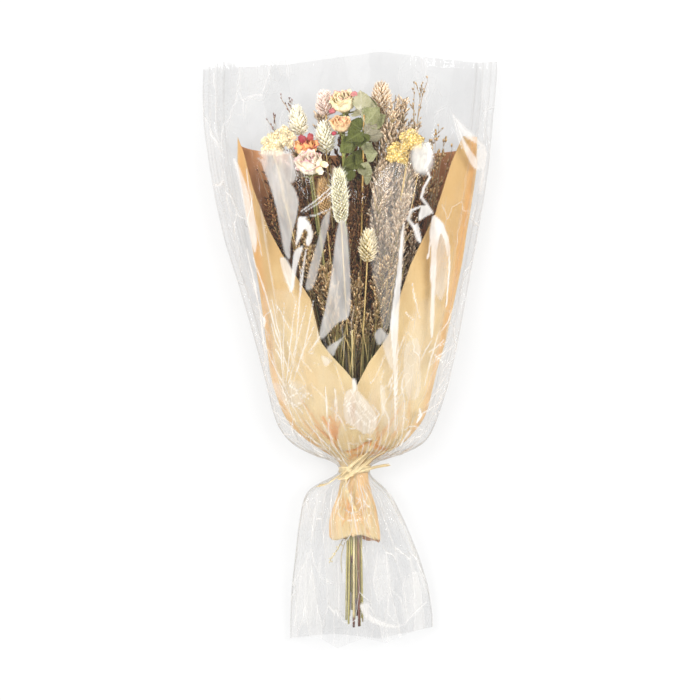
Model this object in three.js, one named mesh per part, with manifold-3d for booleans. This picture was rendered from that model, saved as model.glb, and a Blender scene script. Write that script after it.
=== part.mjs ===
// A dried flower bouquet in kraft paper and a clear film sleeve, tied at the neck with raffia.
// Millimetres. It lies on its back: +X right, +Y towards the flower heads, +Z up from the surface.

import * as THREE from 'three';
import * as BufferGeometryUtils from 'three/addons/utils/BufferGeometryUtils.js';
import Module from 'manifold-3d';

const wasm = await Module();
wasm.setup();

// ---------------------------------------------------------------- driving dimensions

const GAP = 0.35; // clearance between pieces that touch
const SLEEVE_TOP = 286; // mouth of the sleeve, with the front film's peak above it
const SLEEVE_PEAK = 14;
const SLEEVE_PEAK_SIDE = 0.22; // as a share of the half width
const SLEEVE_HEM = -288; // lower edge of the skirt, with one low corner
const SLEEVE_HEM_DROP = 12;
const SLEEVE_HEM_DROP_SIDE = -0.4;
const FILM_WALL = 0.4;
const SEAM_HALF_GAP = 0.45;
const FILM_SLIT = 0.4; // under the tie, between the upper film and its skirt

const WRAP_TOP_SIDE = 214; // tips of the two front flaps
const WRAP_TOP_BACK = 196; // straight edge of the back panel
const WRAP_V_TIP = -35;
const WRAP_HEM = -188;
const WRAP_SLIT = 0.4;

const NECK = new THREE.Vector3(4.5, -120, 17.5); // centre of the tie
const NECK_HALF_LENGTH = 6;
const STEM_RADIUS = 1.0;
const STEM_PITCH = 2 * STEM_RADIUS + GAP;
const TAIL_REACH = 150; // below the neck the bunch opens and sinks evenly over this length
const TAIL_SPREAD = 0.32;
const TAIL_SINK = 5.5;

const LEAF_THICKNESS = 0.8;
const LEAF_STALK = 0.14; // share of a leaf's length
const LEAF_STALK_WIDTH = 1.2;

const RAFFIA_TURNS = 2.8;
const RAFFIA_WIDTH = 2.3;
const RAFFIA_THICKNESS = 1.0;
const RAFFIA_PITCH = 2.7;
const NECK_FILM = { halfWidth: 14.4, halfHeight: 12.4 };
const NECK_PAPER = { halfWidth: 13.55, halfHeight: 11.55 };
const NECK_PAPER_BORE = 8.2;

const COLOURS = {
  film: { color: 0xeeeef2, roughness: 0.12, metalness: 0 },
  kraft: { color: 0xe0b87c, roughness: 0.8, metalness: 0 },
  raffia: { color: 0xebcf8e, roughness: 0.7, metalness: 0 },
  rose: { color: 0xf0c08a, roughness: 0.75, metalness: 0 },
  leaf: { color: 0xa3aa80, roughness: 0.75, metalness: 0 },
  green_stem: { color: 0x8a8550, roughness: 0.8, metalness: 0 },
  straw: { color: 0xd8c592, roughness: 0.85, metalness: 0 },
  yarrow: { color: 0xe8c65a, roughness: 0.9, metalness: 0 },
  brown: { color: 0x7a6250, roughness: 0.9, metalness: 0 },
};

// ---------------------------------------------------------------- smooth profiles along the length

// Monotone cubic through rows of [position, value], held constant past both ends.
function profile(rows) {
  const sorted = [...rows].sort((first, second) => first[0] - second[0]);
  const slopes = sorted.slice(1).map((row, i) => (row[1] - sorted[i][1]) / (row[0] - sorted[i][0]));
  const tangents = sorted.map((row, i) => {
    const before = slopes[i - 1] ?? 0;
    const after = slopes[i] ?? 0;
    return before * after > 0 ? (2 * before * after) / (before + after) : 0;
  });
  return (position) => {
    const last = sorted.length - 1;
    if (position <= sorted[0][0]) return sorted[0][1];
    if (position >= sorted[last][0]) return sorted[last][1];
    const i = sorted.findIndex((row) => row[0] > position) - 1;
    const span = sorted[i + 1][0] - sorted[i][0];
    const t = (position - sorted[i][0]) / span;
    const rise = (3 - 2 * t) * t * t;
    const lift = t * (1 - t) * (1 - t) * tangents[i] - t * t * (1 - t) * tangents[i + 1];
    return sorted[i][1] + rise * (sorted[i + 1][1] - sorted[i][1]) + span * lift;
  };
}

const neckRows = (value) => [
  [NECK.y + NECK_HALF_LENGTH, value],
  [NECK.y - NECK_HALF_LENGTH, value],
];

const SEAM_HEIGHT = profile([
  [300, 9], [240, 13], [110, 15], [-30, 16], ...neckRows(NECK.z), [-160, 15], [-230, 11], [-300, 6],
]);
const ROUNDNESS = profile([[-25, 0], [-85, 0.3], ...neckRows(1), [-150, 0.8], [-190, 0.5], [-215, 0.1]]);
// Share of the half width that lies flat on the surface.
const FLAT_SHARE = profile([[-150, 0.45], [-195, 0.78]]);

const FILM_LEFT = profile([
  [284, -147], [250, -148.5], [190, -142], [110, -126], [50, -107], [-30, -85], [-70, -75],
  [-90, -63], [-104, -42], ...neckRows(NECK.x - NECK_FILM.halfWidth),
  [-134, -36], [-150, -47], [-190, -53], [-270, -60],
]);
const FILM_RIGHT = profile([
  [284, 148.5], [250, 145], [190, 140], [110, 127], [50, 116], [-30, 100], [-70, 87],
  [-90, 78], [-104, 57], ...neckRows(NECK.x + NECK_FILM.halfWidth),
  [-134, 31], [-150, 44], [-190, 62], [-230, 77], [-270, 83],
]);
const FILM_CROWN = profile([
  [300, 40], [275, 55], [240, 74], [180, 90], [110, 88], [50, 82], [-30, 68], [-70, 56], [-95, 43],
  ...neckRows(NECK.z + NECK_FILM.halfHeight), [-150, 39], [-190, 42], [-230, 36], [-270, 26], [-300, 15],
]);
const FILM_BELLY = profile([[-60, 0], [-90, 1.5], ...neckRows(NECK.z - NECK_FILM.halfHeight), [-160, 0]]);

const WRAP_LEFT = profile([
  [214, -117], [172, -110], [126, -103], [73, -93], [13, -85], [-26, -80], [-55, -71], [-74, -62],
  [-97, -35], ...neckRows(NECK.x - NECK_PAPER.halfWidth), [-151, -14], [-178, -23], [-188, -21],
]);
const WRAP_RIGHT = profile([
  [214, 127], [172, 122], [126, 115], [73, 107], [10, 97], [-26, 86], [-55, 80], [-74, 71],
  [-97, 50], ...neckRows(NECK.x + NECK_PAPER.halfWidth), [-151, 24], [-178, 30], [-188, 31],
]);
const WRAP_CROWN_INSET = profile([
  [214, 12], [100, 9], [-30, 7], [-95, 4], ...neckRows(0.85), [-151, 7], [-188, 10],
]);
const WRAP_BELLY_INSET = profile([[-60, 0.85], ...neckRows(0.85), [-151, 2.2], [-188, 1.6]]);
const WRAP_WALL_SIDE = profile([
  [-60, 0.6], [-95, 2], ...neckRows(NECK_PAPER.halfWidth - NECK_PAPER_BORE), [-151, 1.4], [-188, 0.7],
]);
const WRAP_WALL_CROWN = profile([
  [-60, 0.6], [-95, 1.5], ...neckRows(NECK_PAPER.halfHeight - NECK_PAPER_BORE), [-151, 1.2], [-188, 0.7],
]);
// Front edges of the two flaps, from their tips down to where they meet.
const FLAP_LEFT_EDGE = profile([
  [214, -113], [199, -107], [162, -97], [120, -81], [96, -68], [50, -39], [8, -29], [-7, -17],
  [-21, -4], [WRAP_V_TIP, 7 - WRAP_SLIT / 2],
]);
const FLAP_RIGHT_EDGE = profile([
  [214, 113], [187, 101], [136, 85], [85, 60], [34, 43], [14, 38], [-12, 19], [WRAP_V_TIP, 7 + WRAP_SLIT / 2],
]);

// ---------------------------------------------------------------- lens-shaped sections of the wraps

const CROWN_POWER = 1.5; // of the cosine: 1 is an ellipse, 2 a pointed lens

// Angle 0 is the front centre line, a quarter turn the right-hand side, a half turn the back.
function sectionPoint(layer, y, angle) {
  const left = layer.left(y);
  const right = layer.right(y);
  const side = Math.sin(angle);
  const cosine = Math.abs(Math.cos(angle));
  const round = ROUNDNESS(y);
  const seam = layer.seam(y);
  const x = (left + right) / 2 + ((right - left) / 2) * side;
  if (Math.cos(angle) >= 0) {
    const arch = (1 - round) * cosine ** CROWN_POWER + round * cosine;
    return new THREE.Vector3(x, y, seam + (layer.crown(y) - seam) * arch);
  }
  const flat = FLAT_SHARE(y);
  const bend = Math.max(0, (Math.abs(side) - flat) / (1 - flat));
  const dish = (1 - round) * (1 - bend * bend) + round * cosine;
  return new THREE.Vector3(x, y, seam - (seam - layer.belly(y)) * dish);
}

function sectionNormal(layer, y, angle) {
  const step = 1e-3;
  const across = sectionPoint(layer, y, angle + step).sub(sectionPoint(layer, y, angle - step));
  const along = sectionPoint(layer, y + step, angle).sub(sectionPoint(layer, y - step, angle));
  return across.cross(along).normalize();
}

function filmLayer(seamShift) {
  return {
    left: FILM_LEFT,
    right: FILM_RIGHT,
    crown: FILM_CROWN,
    belly: FILM_BELLY,
    seam: (y) => SEAM_HEIGHT(y) + seamShift,
  };
}

function wrapLayer(depth) {
  return {
    left: (y) => WRAP_LEFT(y) + depth * WRAP_WALL_SIDE(y),
    right: (y) => WRAP_RIGHT(y) - depth * WRAP_WALL_SIDE(y),
    crown: (y) => FILM_CROWN(y) - WRAP_CROWN_INSET(y) - depth * WRAP_WALL_CROWN(y),
    belly: (y) => FILM_BELLY(y) + WRAP_BELLY_INSET(y) + depth * WRAP_WALL_CROWN(y),
    seam: SEAM_HEIGHT,
  };
}

// ---------------------------------------------------------------- closed bodies by mapping simple ones

function mapped(geometry, place) {
  geometry.deleteAttribute('normal');
  geometry.deleteAttribute('uv');
  const positions = geometry.attributes.position;
  const point = new THREE.Vector3();
  for (let i = 0; i < positions.count; i += 1) {
    point.fromBufferAttribute(positions, i);
    positions.setXYZ(i, ...place(point.clone()).toArray());
  }
  return BufferGeometryUtils.mergeVertices(geometry, 1e-4);
}

// A sheet from a box: u across, v along, w through its thickness, each from 0 to 1.
// Both of its walls are split along the same diagonals, so it keeps its thickness where it twists.
function sheet(columns, rows, place) {
  const box = new THREE.BoxGeometry(1, 1, 1, columns, rows, 1);
  const wall = box.groups[box.groups.length - 1];
  const corners = box.index.array;
  for (let i = wall.start; i < wall.start + wall.count; i += 6) {
    const [a, b, d, , c] = corners.slice(i, i + 6);
    corners.set([a, b, c, a, c, d], i);
  }
  box.clearGroups();
  return mapped(box, (point) => place(point.x + 0.5, point.y + 0.5, point.z + 0.5));
}

// A rod from a cylinder, along a path, with half widths towards "up" and across it.
function rod(path, sides, steps, halfWidth, halfHeight, upAt) {
  const cylinder = new THREE.CylinderGeometry(1, 1, 1, sides, steps);
  return mapped(cylinder, (point) => {
    const t = point.y + 0.5;
    const tangent = path.getTangent(t);
    const up = upAt(t).sub(tangent.clone().multiplyScalar(upAt(t).dot(tangent))).normalize();
    const across = tangent.clone().cross(up);
    return path
      .getPoint(t)
      .addScaledVector(across, point.x * halfWidth(t))
      .addScaledVector(up, point.z * halfHeight(t));
  });
}

const upwards = () => new THREE.Vector3(0, 0, 1);

function stemRod(path, steps, footRadius, headRadius) {
  const radius = (t) => footRadius + (headRadius - footRadius) * t;
  return rod(path, 5, steps, radius, radius, upwards);
}

// An egg-shaped head, its axis turned from +Y to the given direction.
function head(centre, direction, radius, halfLength, taper, segments = [8, 6]) {
  const turn = new THREE.Quaternion().setFromUnitVectors(new THREE.Vector3(0, 1, 0), direction);
  return mapped(new THREE.SphereGeometry(1, segments[0], segments[1]), (point) => {
    const waist = radius * (1 - taper * point.y);
    point.set(point.x * waist, point.y * halfLength, point.z * waist);
    return point.applyQuaternion(turn).add(centre);
  });
}

function toManifold(geometry) {
  const vertProperties = new Float32Array(geometry.attributes.position.array);
  const triVerts = new Uint32Array(geometry.index.array);
  return new wasm.Manifold(new wasm.Mesh({ numProp: 3, vertProperties, triVerts }));
}

function joined(geometries) {
  const solid = geometries.map(toManifold).reduce((whole, next) => whole.add(next));
  const mesh = solid.getMesh();
  const geometry = new THREE.BufferGeometry();
  geometry.setAttribute('position', new THREE.BufferAttribute(new Float32Array(mesh.vertProperties), 3));
  geometry.setIndex(new THREE.BufferAttribute(new Uint32Array(mesh.triVerts), 1));
  return geometry;
}

// ---------------------------------------------------------------- the bunch: where every stem goes

const ROSES = [
  { centre: [-7, 248, 46], radius: 11.5, halfLength: 11.5, foot: -256 },
  { centre: [-8, 225, 57], radius: 9, halfLength: 10, foot: -246 },
  { centre: [-44, 203, 51], radius: 10, halfLength: 10, foot: -262 },
  { centre: [-39, 186, 68], radius: 12, halfLength: 12, foot: -230 },
];
const LEAF_STEM = { tip: [14, 235, 55], foot: -268 };
// Each leaf: where it leaves the stem along Y, where its tip lies, and its width.
const LEAVES = [
  { from: 235, tip: [10, 259, 50], width: 14 },
  { from: 222, tip: [29, 242, 56], width: 15 },
  { from: 214, tip: [27, 226, 58], width: 11 },
  { from: 218, tip: [-4, 207, 66], width: 14 },
  { from: 196, tip: [21, 206, 60], width: 11 },
  { from: 190, tip: [-8, 181, 60], width: 12 },
  { from: 172, tip: [18, 188, 56], width: 12 },
];
const GRASSES = [
  { name: 'canary_grass_1', centre: [-25, 213, 42], radius: 8.5, halfLength: 17, foot: -262 },
  { name: 'canary_grass_2', centre: [-52, 230, 34], radius: 7.5, halfLength: 15.5, foot: -236 },
  { name: 'canary_grass_3', centre: [-25, 248, 30], radius: 7.5, halfLength: 13, foot: -272 },
  { name: 'canary_grass_4', centre: [31, 254, 38], radius: 9.5, halfLength: 15, foot: -266 },
  { name: 'canary_grass_5', centre: [18, 104, 70], radius: 7.5, halfLength: 17.5, foot: -250 },
  { name: 'foxtail_pale', centre: [-10, 152, 72], radius: 8, halfLength: 28, foot: -270 },
  { name: 'foxtail_brown', centre: [-26, 152, 56], radius: 6, halfLength: 18, foot: -244 },
  { name: 'bunny_tail_grass', centre: [71, 192, 46], radius: 11, halfLength: 15, foot: -258 },
];
const PANICLES = [
  { centre: [47, 112, 61], radius: 6, halfLength: 38, foot: -270 },
  { centre: [30, 52, 58], radius: 6, halfLength: 36, foot: -240 },
  { centre: [66, 140, 28], radius: 6, halfLength: 36, foot: -264 },
  { centre: [-38, 88, 50], radius: 6, halfLength: 38, foot: -252 },
  { centre: [-19, 48, 56], radius: 6, halfLength: 34, foot: -276 },
  { centre: [6, 34, 46], radius: 6, halfLength: 34, foot: -232 },
  { centre: [-60, 142, 34], radius: 6, halfLength: 38, foot: -268 },
];
const YARROWS = [
  { name: 'yarrow_right', centre: [60, 208, 60], second: [46, 195, 62], radius: 12, foot: -278 },
  { name: 'yarrow_left', centre: [-78, 204, 46], second: [-66, 212, 46], radius: 12, foot: -272 },
];
const SPRIGS = [
  { tip: [78, 270, 34], foot: -260, branches: [[190, 64, 262], [215, 72, 264], [170, 92, 222]] },
  { tip: [46, 257, 26], foot: -226, branches: [[180, 40, 226], [205, 56, 238]] },
  { tip: [102, 200, 32], foot: -274, branches: [[130, 86, 212], [105, 90, 165], [150, 94, 208]] },
  { tip: [-92, 184, 26], foot: -248, branches: [[60, -66, 150], [95, -90, 130], [120, -74, 176]] },
  { tip: [-68, 250, 28], foot: -266, branches: [[170, -80, 226], [200, -58, 246]] },
];
const BARE_STEMS = [
  { tip: [2, 20, 60], foot: -279 },
  { tip: [22, -4, 50], foot: -278 },
  { tip: [-8, -10, 44], foot: -214 },
];

const vector = (values) => new THREE.Vector3(...values);

// Aims: the point each stem runs to, in one list, so that all can share the neck.
const aims = [
  ...ROSES.map((rose) => vector(rose.centre)),
  vector(LEAF_STEM.tip),
  ...GRASSES.map((grass) => vector(grass.centre)),
  ...PANICLES.map((panicle) => vector(panicle.centre)),
  ...YARROWS.map((yarrow) => vector(yarrow.centre)),
  ...SPRIGS.map((sprig) => vector(sprig.tip)),
  ...BARE_STEMS.map((stem) => vector(stem.tip)),
];

// Stems lie side by side in the neck in the order in which they fan out, packed to their pitch.
function packNeck(points) {
  const fan = 26;
  const slots = points.map((point) => {
    const reach = point.y - NECK.y;
    return new THREE.Vector2(((point.x - NECK.x) / reach) * fan, ((point.z - NECK.z) / reach) * fan - 3);
  });
  const passes = 1200;
  for (let pass = 0; pass < passes; pass += 1) {
    const squeeze = pass < passes * 0.7 ? 0.99 : 1;
    slots.forEach((slot) => slot.multiplyScalar(squeeze));
    slots.forEach((slot, i) => slots.slice(i + 1).forEach((other) => spread(slot, other)));
  }
  return slots;
}

function spread(slot, other) {
  const apart = other.clone().sub(slot);
  const distance = apart.length();
  if (distance >= STEM_PITCH) return;
  apart.multiplyScalar((STEM_PITCH - distance) / (2 * distance));
  slot.sub(apart);
  other.add(apart);
}

const slots = packNeck(aims);

function stemPath(index, foot, end) {
  const slot = slots[index];
  const inBunch = (y, spread, sink) =>
    new THREE.Vector3(NECK.x + slot.x * spread, y, NECK.z - sink + slot.y * spread);
  const lower = inBunch(NECK.y - NECK_HALF_LENGTH, 1, 0);
  const upper = inBunch(NECK.y + NECK_HALF_LENGTH, 1, 0);
  const share = (lower.y - foot) / TAIL_REACH;
  const tail = inBunch(foot, 1 + TAIL_SPREAD * share, TAIL_SINK * share);
  const middle = upper.clone().lerp(end, 0.5);
  return new THREE.CatmullRomCurve3([tail, lower, upper, middle, end], false, 'chordal');
}

// ---------------------------------------------------------------- wraps

// Rows are shared by film and paper round the neck, so that their facets stay parallel there.
const BELOW_TIE = [-150, -139, -131, -126];
const ABOVE_TIE = [-114, -109, -103, -96, -88, -76, -60];
const NECK_STOPS = [...BELOW_TIE, NECK.y - FILM_SLIT / 2, NECK.y + FILM_SLIT / 2, ...ABOVE_TIE];
const SKIRT_STOPS = [-268, -238, -206, -176, ...BELOW_TIE, NECK.y - FILM_SLIT / 2];
const FILM_STOPS = [NECK.y + FILM_SLIT / 2, ...ABOVE_TIE, WRAP_V_TIP, 10, 60, 110, 150, 190, 230, 262];
const WRAP_STOPS = [
  WRAP_HEM, -170, ...NECK_STOPS, WRAP_V_TIP, -20, -6, 10, 34, 60, 85, 110, 136, 162, 190, WRAP_TOP_SIDE,
];

function bump(x, centre, width) {
  return Math.exp(-(((x - centre) / width) ** 2));
}

// One film from the tie to its free edge: up to the mouth, or down to the hem of the skirt.
function film(isFront, isSkirt) {
  const layer = filmLayer(isFront ? SEAM_HALF_GAP : -SEAM_HALF_GAP);
  const edge = isFront ? 1 : 0;
  const rows = isSkirt ? SKIRT_STOPS.length : FILM_STOPS.length;
  return sheet(16, rows, (u, v, w) => {
    const turn = Math.PI * (u - 0.5);
    const angle = isFront ? turn : Math.PI - turn;
    const side = Math.sin(turn);
    const hem = SLEEVE_HEM - edge * SLEEVE_HEM_DROP * bump(side, SLEEVE_HEM_DROP_SIDE, 0.6);
    const mouth = SLEEVE_TOP + edge * SLEEVE_PEAK * bump(side, SLEEVE_PEAK_SIDE, 0.45);
    const stops = isSkirt ? [hem, ...SKIRT_STOPS] : [...FILM_STOPS, mouth];
    const y = stops[Math.round(v * rows)];
    const depth = isFront ? 1 - w : w;
    return sectionPoint(layer, y, angle).addScaledVector(sectionNormal(layer, y, angle), -depth * FILM_WALL);
  });
}

function flapAngle(layer, edge, y) {
  const half = (layer.right(y) - layer.left(y)) / 2;
  const middle = (layer.right(y) + layer.left(y)) / 2;
  return Math.asin(THREE.MathUtils.clamp((edge - middle) / half, -1, 1));
}

function kraftWrap() {
  return sheet(24, WRAP_STOPS.length - 1, (u, v, w) => {
    const layer = wrapLayer(1 - w);
    const level = WRAP_STOPS[Math.round(v * (WRAP_STOPS.length - 1))];
    const start = flapAngle(layer, FLAP_RIGHT_EDGE(level), level);
    const finish = 2 * Math.PI + flapAngle(layer, FLAP_LEFT_EDGE(level), level);
    const angle = start + u * (finish - start);
    const backness = Math.max(0, -Math.cos(angle)) ** 0.5;
    const nearTop = THREE.MathUtils.smoothstep(level, 60, WRAP_TOP_SIDE);
    const y = level - (WRAP_TOP_SIDE - WRAP_TOP_BACK) * backness * nearTop;
    return sectionPoint(layer, y, angle);
  });
}

// ---------------------------------------------------------------- raffia

const raffiaRing = {
  halfWidth: NECK_FILM.halfWidth + 1.3 * GAP + RAFFIA_THICKNESS / 2,
  halfHeight: NECK_FILM.halfHeight + 1.3 * GAP + RAFFIA_THICKNESS / 2,
};

class RaffiaHelix extends THREE.Curve {
  getPoint(t) {
    const angle = 2 * Math.PI * RAFFIA_TURNS * (t - 0.5);
    return new THREE.Vector3(
      NECK.x + raffiaRing.halfWidth * Math.sin(angle),
      NECK.y + RAFFIA_PITCH * RAFFIA_TURNS * (t - 0.5) * 0.98,
      NECK.z + raffiaRing.halfHeight * Math.cos(angle),
    );
  }
}

function raffiaWrap() {
  const helix = new RaffiaHelix();
  const outwards = (t) => {
    const point = helix.getPoint(t);
    return new THREE.Vector3(point.x - NECK.x, 0, point.z - NECK.z).normalize();
  };
  return rod(helix, 4, 58, () => RAFFIA_WIDTH / 2, () => RAFFIA_THICKNESS / 2, outwards);
}

const KNOT_CENTRE = new THREE.Vector3(-1, -120, NECK.z + raffiaRing.halfHeight + 2.6);
const KNOT_RADII = new THREE.Vector3(3.6, 3.4, 1.9);

function raffiaKnot() {
  return mapped(new THREE.SphereGeometry(1, 10, 8), (point) => point.multiply(KNOT_RADII).add(KNOT_CENTRE));
}

// Loose ends as [x, y] points that lie on the front film.
const RAFFIA_TAILS = [
  [[-5, -122], [-12, -131], [-16, -146], [-19, -160]],
  [[3, -118.5], [9, -111], [20, -99], [26, -86]],
  [[3.4, -122.2], [13, -116], [28, -105], [45, -98]],
  [[-2, -124], [-4, -134], [0, -150], [7, -162]],
];
// Over the turns round the neck the ends lie higher than on the bare film.
const TAIL_LIFT = profile([
  [NECK.y - 9, 1.5 * GAP + RAFFIA_THICKNESS],
  ...neckRows(2.5 * GAP + 1.8 * RAFFIA_THICKNESS),
  [NECK.y + 9, 1.5 * GAP + RAFFIA_THICKNESS],
]);

function raffiaTail(points) {
  const layer = filmLayer(SEAM_HALF_GAP);
  const steps = 12;
  const plan = new THREE.CatmullRomCurve3(points.map(([x, y]) => new THREE.Vector3(x, y, 0)), false, 'chordal');
  const lying = plan.getPoints(steps).map(({ x, y }) => {
    const angle = flapAngle(layer, x, y);
    return sectionPoint(layer, y, angle).addScaledVector(sectionNormal(layer, y, angle), TAIL_LIFT(y));
  });
  const path = new THREE.CatmullRomCurve3(lying, false, 'chordal');
  return rod(path, 4, steps, () => RAFFIA_WIDTH / 2, () => RAFFIA_THICKNESS / 2, upwards);
}

// ---------------------------------------------------------------- flowers, leaves and grasses

const group = new THREE.Group();

function addMesh(name, geometry, colour) {
  const mesh = new THREE.Mesh(geometry, new THREE.MeshStandardMaterial(COLOURS[colour]));
  mesh.name = name;
  group.add(mesh);
}

let nextAim = 0;
function nextStem(foot, end) {
  const path = stemPath(nextAim, foot, end);
  nextAim += 1;
  return path;
}

function addRose(rose, number) {
  const centre = vector(rose.centre);
  const direction = centre.clone().sub(NECK).normalize();
  const base = centre.clone().addScaledVector(direction, -rose.halfLength - GAP);
  addMesh(`rose_stem_${number}`, stemRod(nextStem(rose.foot, base), 10, STEM_RADIUS, 0.9), 'green_stem');
  addMesh(`rose_head_${number}`, head(centre, direction, rose.radius, rose.halfLength, -0.12, [9, 6]), 'rose');
}

function leafBlade(base, tip, width) {
  const length = tip.distanceTo(base);
  const along = tip.clone().sub(base).normalize();
  const across = along.clone().cross(new THREE.Vector3(0, 0, 1)).normalize();
  const normal = across.clone().cross(along);
  return sheet(2, 7, (u, v, w) => {
    const blade = Math.sin(Math.PI * Math.max(0, (v - LEAF_STALK) / (1 - LEAF_STALK)));
    const half = 0.5 * Math.max(LEAF_STALK_WIDTH, width * blade ** 0.8);
    const cup = 0.12 * width * blade * (2 * u - 1) ** 2;
    return base
      .clone()
      .addScaledVector(along, length * v)
      .addScaledVector(across, (2 * u - 1) * half)
      .addScaledVector(normal, cup + (w - 0.5) * LEAF_THICKNESS);
  });
}

// From the stem's axis to the foot of a stalk that leaves it at a slant, or from its very end.
function stalkOffset(leaf, side) {
  if (leaf.from >= LEAF_STEM.tip[1]) return GAP;
  const slant = Math.hypot(side.x, side.z);
  return (STEM_RADIUS + GAP + (LEAF_STALK_WIDTH / 2) * side.y) / slant;
}

function addFoliage() {
  const path = nextStem(LEAF_STEM.foot, vector(LEAF_STEM.tip));
  addMesh('leaf_stem', stemRod(path, 10, STEM_RADIUS, 0.9), 'green_stem');
  LEAVES.forEach((leaf, i) => {
    const node = pointAtHeight(path, leaf.from);
    const tip = vector(leaf.tip);
    const side = tip.clone().sub(node).normalize();
    const base = node.addScaledVector(side, stalkOffset(leaf, side));
    addMesh(`rose_leaf_${i + 1}`, leafBlade(base, tip, leaf.width), 'leaf');
  });
}

function pointAtHeight(path, y) {
  let low = 0;
  let high = 1;
  for (let i = 0; i < 30; i += 1) {
    const middle = (low + high) / 2;
    if (path.getPoint(middle).y < y) low = middle;
    else high = middle;
  }
  return path.getPoint(low);
}

function addGrass(name, grass, colour, taper) {
  const centre = vector(grass.centre);
  const direction = centre.clone().sub(NECK).normalize();
  const stem = stemRod(nextStem(grass.foot, centre), 10, STEM_RADIUS, 0.8);
  const plume = head(centre, direction, grass.radius, grass.halfLength, taper);
  addMesh(name, joined([stem, plume]), colour);
}

function addYarrow(yarrow) {
  const centre = vector(yarrow.centre);
  const second = vector(yarrow.second);
  const path = nextStem(yarrow.foot, centre);
  const fork = pointAtHeight(path, centre.y - 34);
  const branch = new THREE.CatmullRomCurve3([fork, fork.clone().lerp(second, 0.6), second]);
  const flat = new THREE.Vector3(0, 0.6, 0.8);
  const umbels = [centre, second].map((place) => head(place, flat, yarrow.radius, 6, 0.1, [10, 6]));
  const stems = [stemRod(path, 10, STEM_RADIUS, 0.9), stemRod(branch, 3, 0.7, 0.7)];
  addMesh(yarrow.name, joined([...stems, ...umbels]), 'yarrow');
}

function addSprig(sprig, number) {
  const tip = vector(sprig.tip);
  const path = nextStem(sprig.foot, tip);
  const twigs = sprig.branches.map(([from, x, y]) => {
    const fork = pointAtHeight(path, from);
    const end = new THREE.Vector3(x, y, fork.z + 4);
    const bend = fork.clone().lerp(end, 0.5).add(new THREE.Vector3(0, 5, 1));
    return stemRod(new THREE.CatmullRomCurve3([fork, bend, end]), 3, 0.6, 0.6);
  });
  addMesh(`statice_sprig_${number}`, joined([stemRod(path, 10, STEM_RADIUS, 0.7), ...twigs]), 'brown');
}

// ---------------------------------------------------------------- assembly

addMesh('sleeve_back_film', film(false, false), 'film');
addMesh('sleeve_front_film', film(true, false), 'film');
addMesh('skirt_back_film', film(false, true), 'film');
addMesh('skirt_front_film', film(true, true), 'film');
addMesh('kraft_wrap', kraftWrap(), 'kraft');
addMesh('raffia_wrap', raffiaWrap(), 'raffia');
addMesh('raffia_knot', raffiaKnot(), 'raffia');
RAFFIA_TAILS.forEach((points, i) => addMesh(`raffia_tail_${i + 1}`, raffiaTail(points), 'raffia'));

ROSES.forEach((rose, i) => addRose(rose, i + 1));
addFoliage();
GRASSES.forEach((grass) => addGrass(grass.name, grass, 'straw', 0.12));
PANICLES.forEach((panicle, i) => addGrass(`panicle_grass_${i + 1}`, panicle, 'brown', 0.25));
YARROWS.forEach(addYarrow);
SPRIGS.forEach((sprig, i) => addSprig(sprig, i + 1));
BARE_STEMS.forEach((stem, i) => {
  const path = nextStem(stem.foot, vector(stem.tip));
  addMesh(`bare_stem_${i + 1}`, stemRod(path, 10, STEM_RADIUS, 0.8), 'green_stem');
});

export default group;
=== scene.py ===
"""A dried flower bouquet in kraft paper and a clear film sleeve, tied with raffia, lying on its back."""

import math
from functools import partial

import bpy
import numpy as np
from bpy.props import FloatProperty, FloatVectorProperty, PointerProperty
from mathutils import Matrix, Vector


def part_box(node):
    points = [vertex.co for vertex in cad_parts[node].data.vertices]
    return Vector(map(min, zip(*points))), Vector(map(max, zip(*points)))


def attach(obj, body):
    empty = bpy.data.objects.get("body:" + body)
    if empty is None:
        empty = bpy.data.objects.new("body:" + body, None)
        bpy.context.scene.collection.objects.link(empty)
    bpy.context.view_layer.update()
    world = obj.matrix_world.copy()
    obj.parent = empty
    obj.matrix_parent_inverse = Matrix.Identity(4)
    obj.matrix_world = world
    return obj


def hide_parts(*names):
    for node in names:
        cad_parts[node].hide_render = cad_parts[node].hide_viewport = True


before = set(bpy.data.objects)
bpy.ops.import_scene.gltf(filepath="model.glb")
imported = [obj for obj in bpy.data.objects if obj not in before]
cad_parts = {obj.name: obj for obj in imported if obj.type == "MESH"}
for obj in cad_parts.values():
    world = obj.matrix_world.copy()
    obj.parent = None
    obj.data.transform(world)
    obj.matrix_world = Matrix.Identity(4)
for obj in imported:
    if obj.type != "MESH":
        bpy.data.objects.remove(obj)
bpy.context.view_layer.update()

bl_info = {
    "name": "Dried Flower Bouquet",
    "version": (1, 0, 0),
    "blender": (4, 5, 0),
    "location": "View3D > Sidebar > Bouquet",
    "description": "Builds a wrapped bunch of dried flowers from its CAD frame",
    "category": "Object",
}

MM = 0.001
NECK = np.array([4.5, -120.0, 17.5])  # centre of the tie, in millimetres as all sizes below
PHOTO_CENTRE = 350.0  # marks taken from the picture: 1 pixel is 1 mm, y runs down
GOLDEN_ANGLE = math.pi * (3 - math.sqrt(5))
UP = (0, 0, 1)


# ---------------------------------------------------------------- colours and node trees


def srgb(code):
    """An sRGB hex code as a linear colour."""
    parts = [int(code[i : i + 2], 16) / 255 for i in (1, 3, 5)]
    return tuple(c / 12.92 if c <= 0.04045 else ((c + 0.055) / 1.055) ** 2.4 for c in parts)


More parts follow.
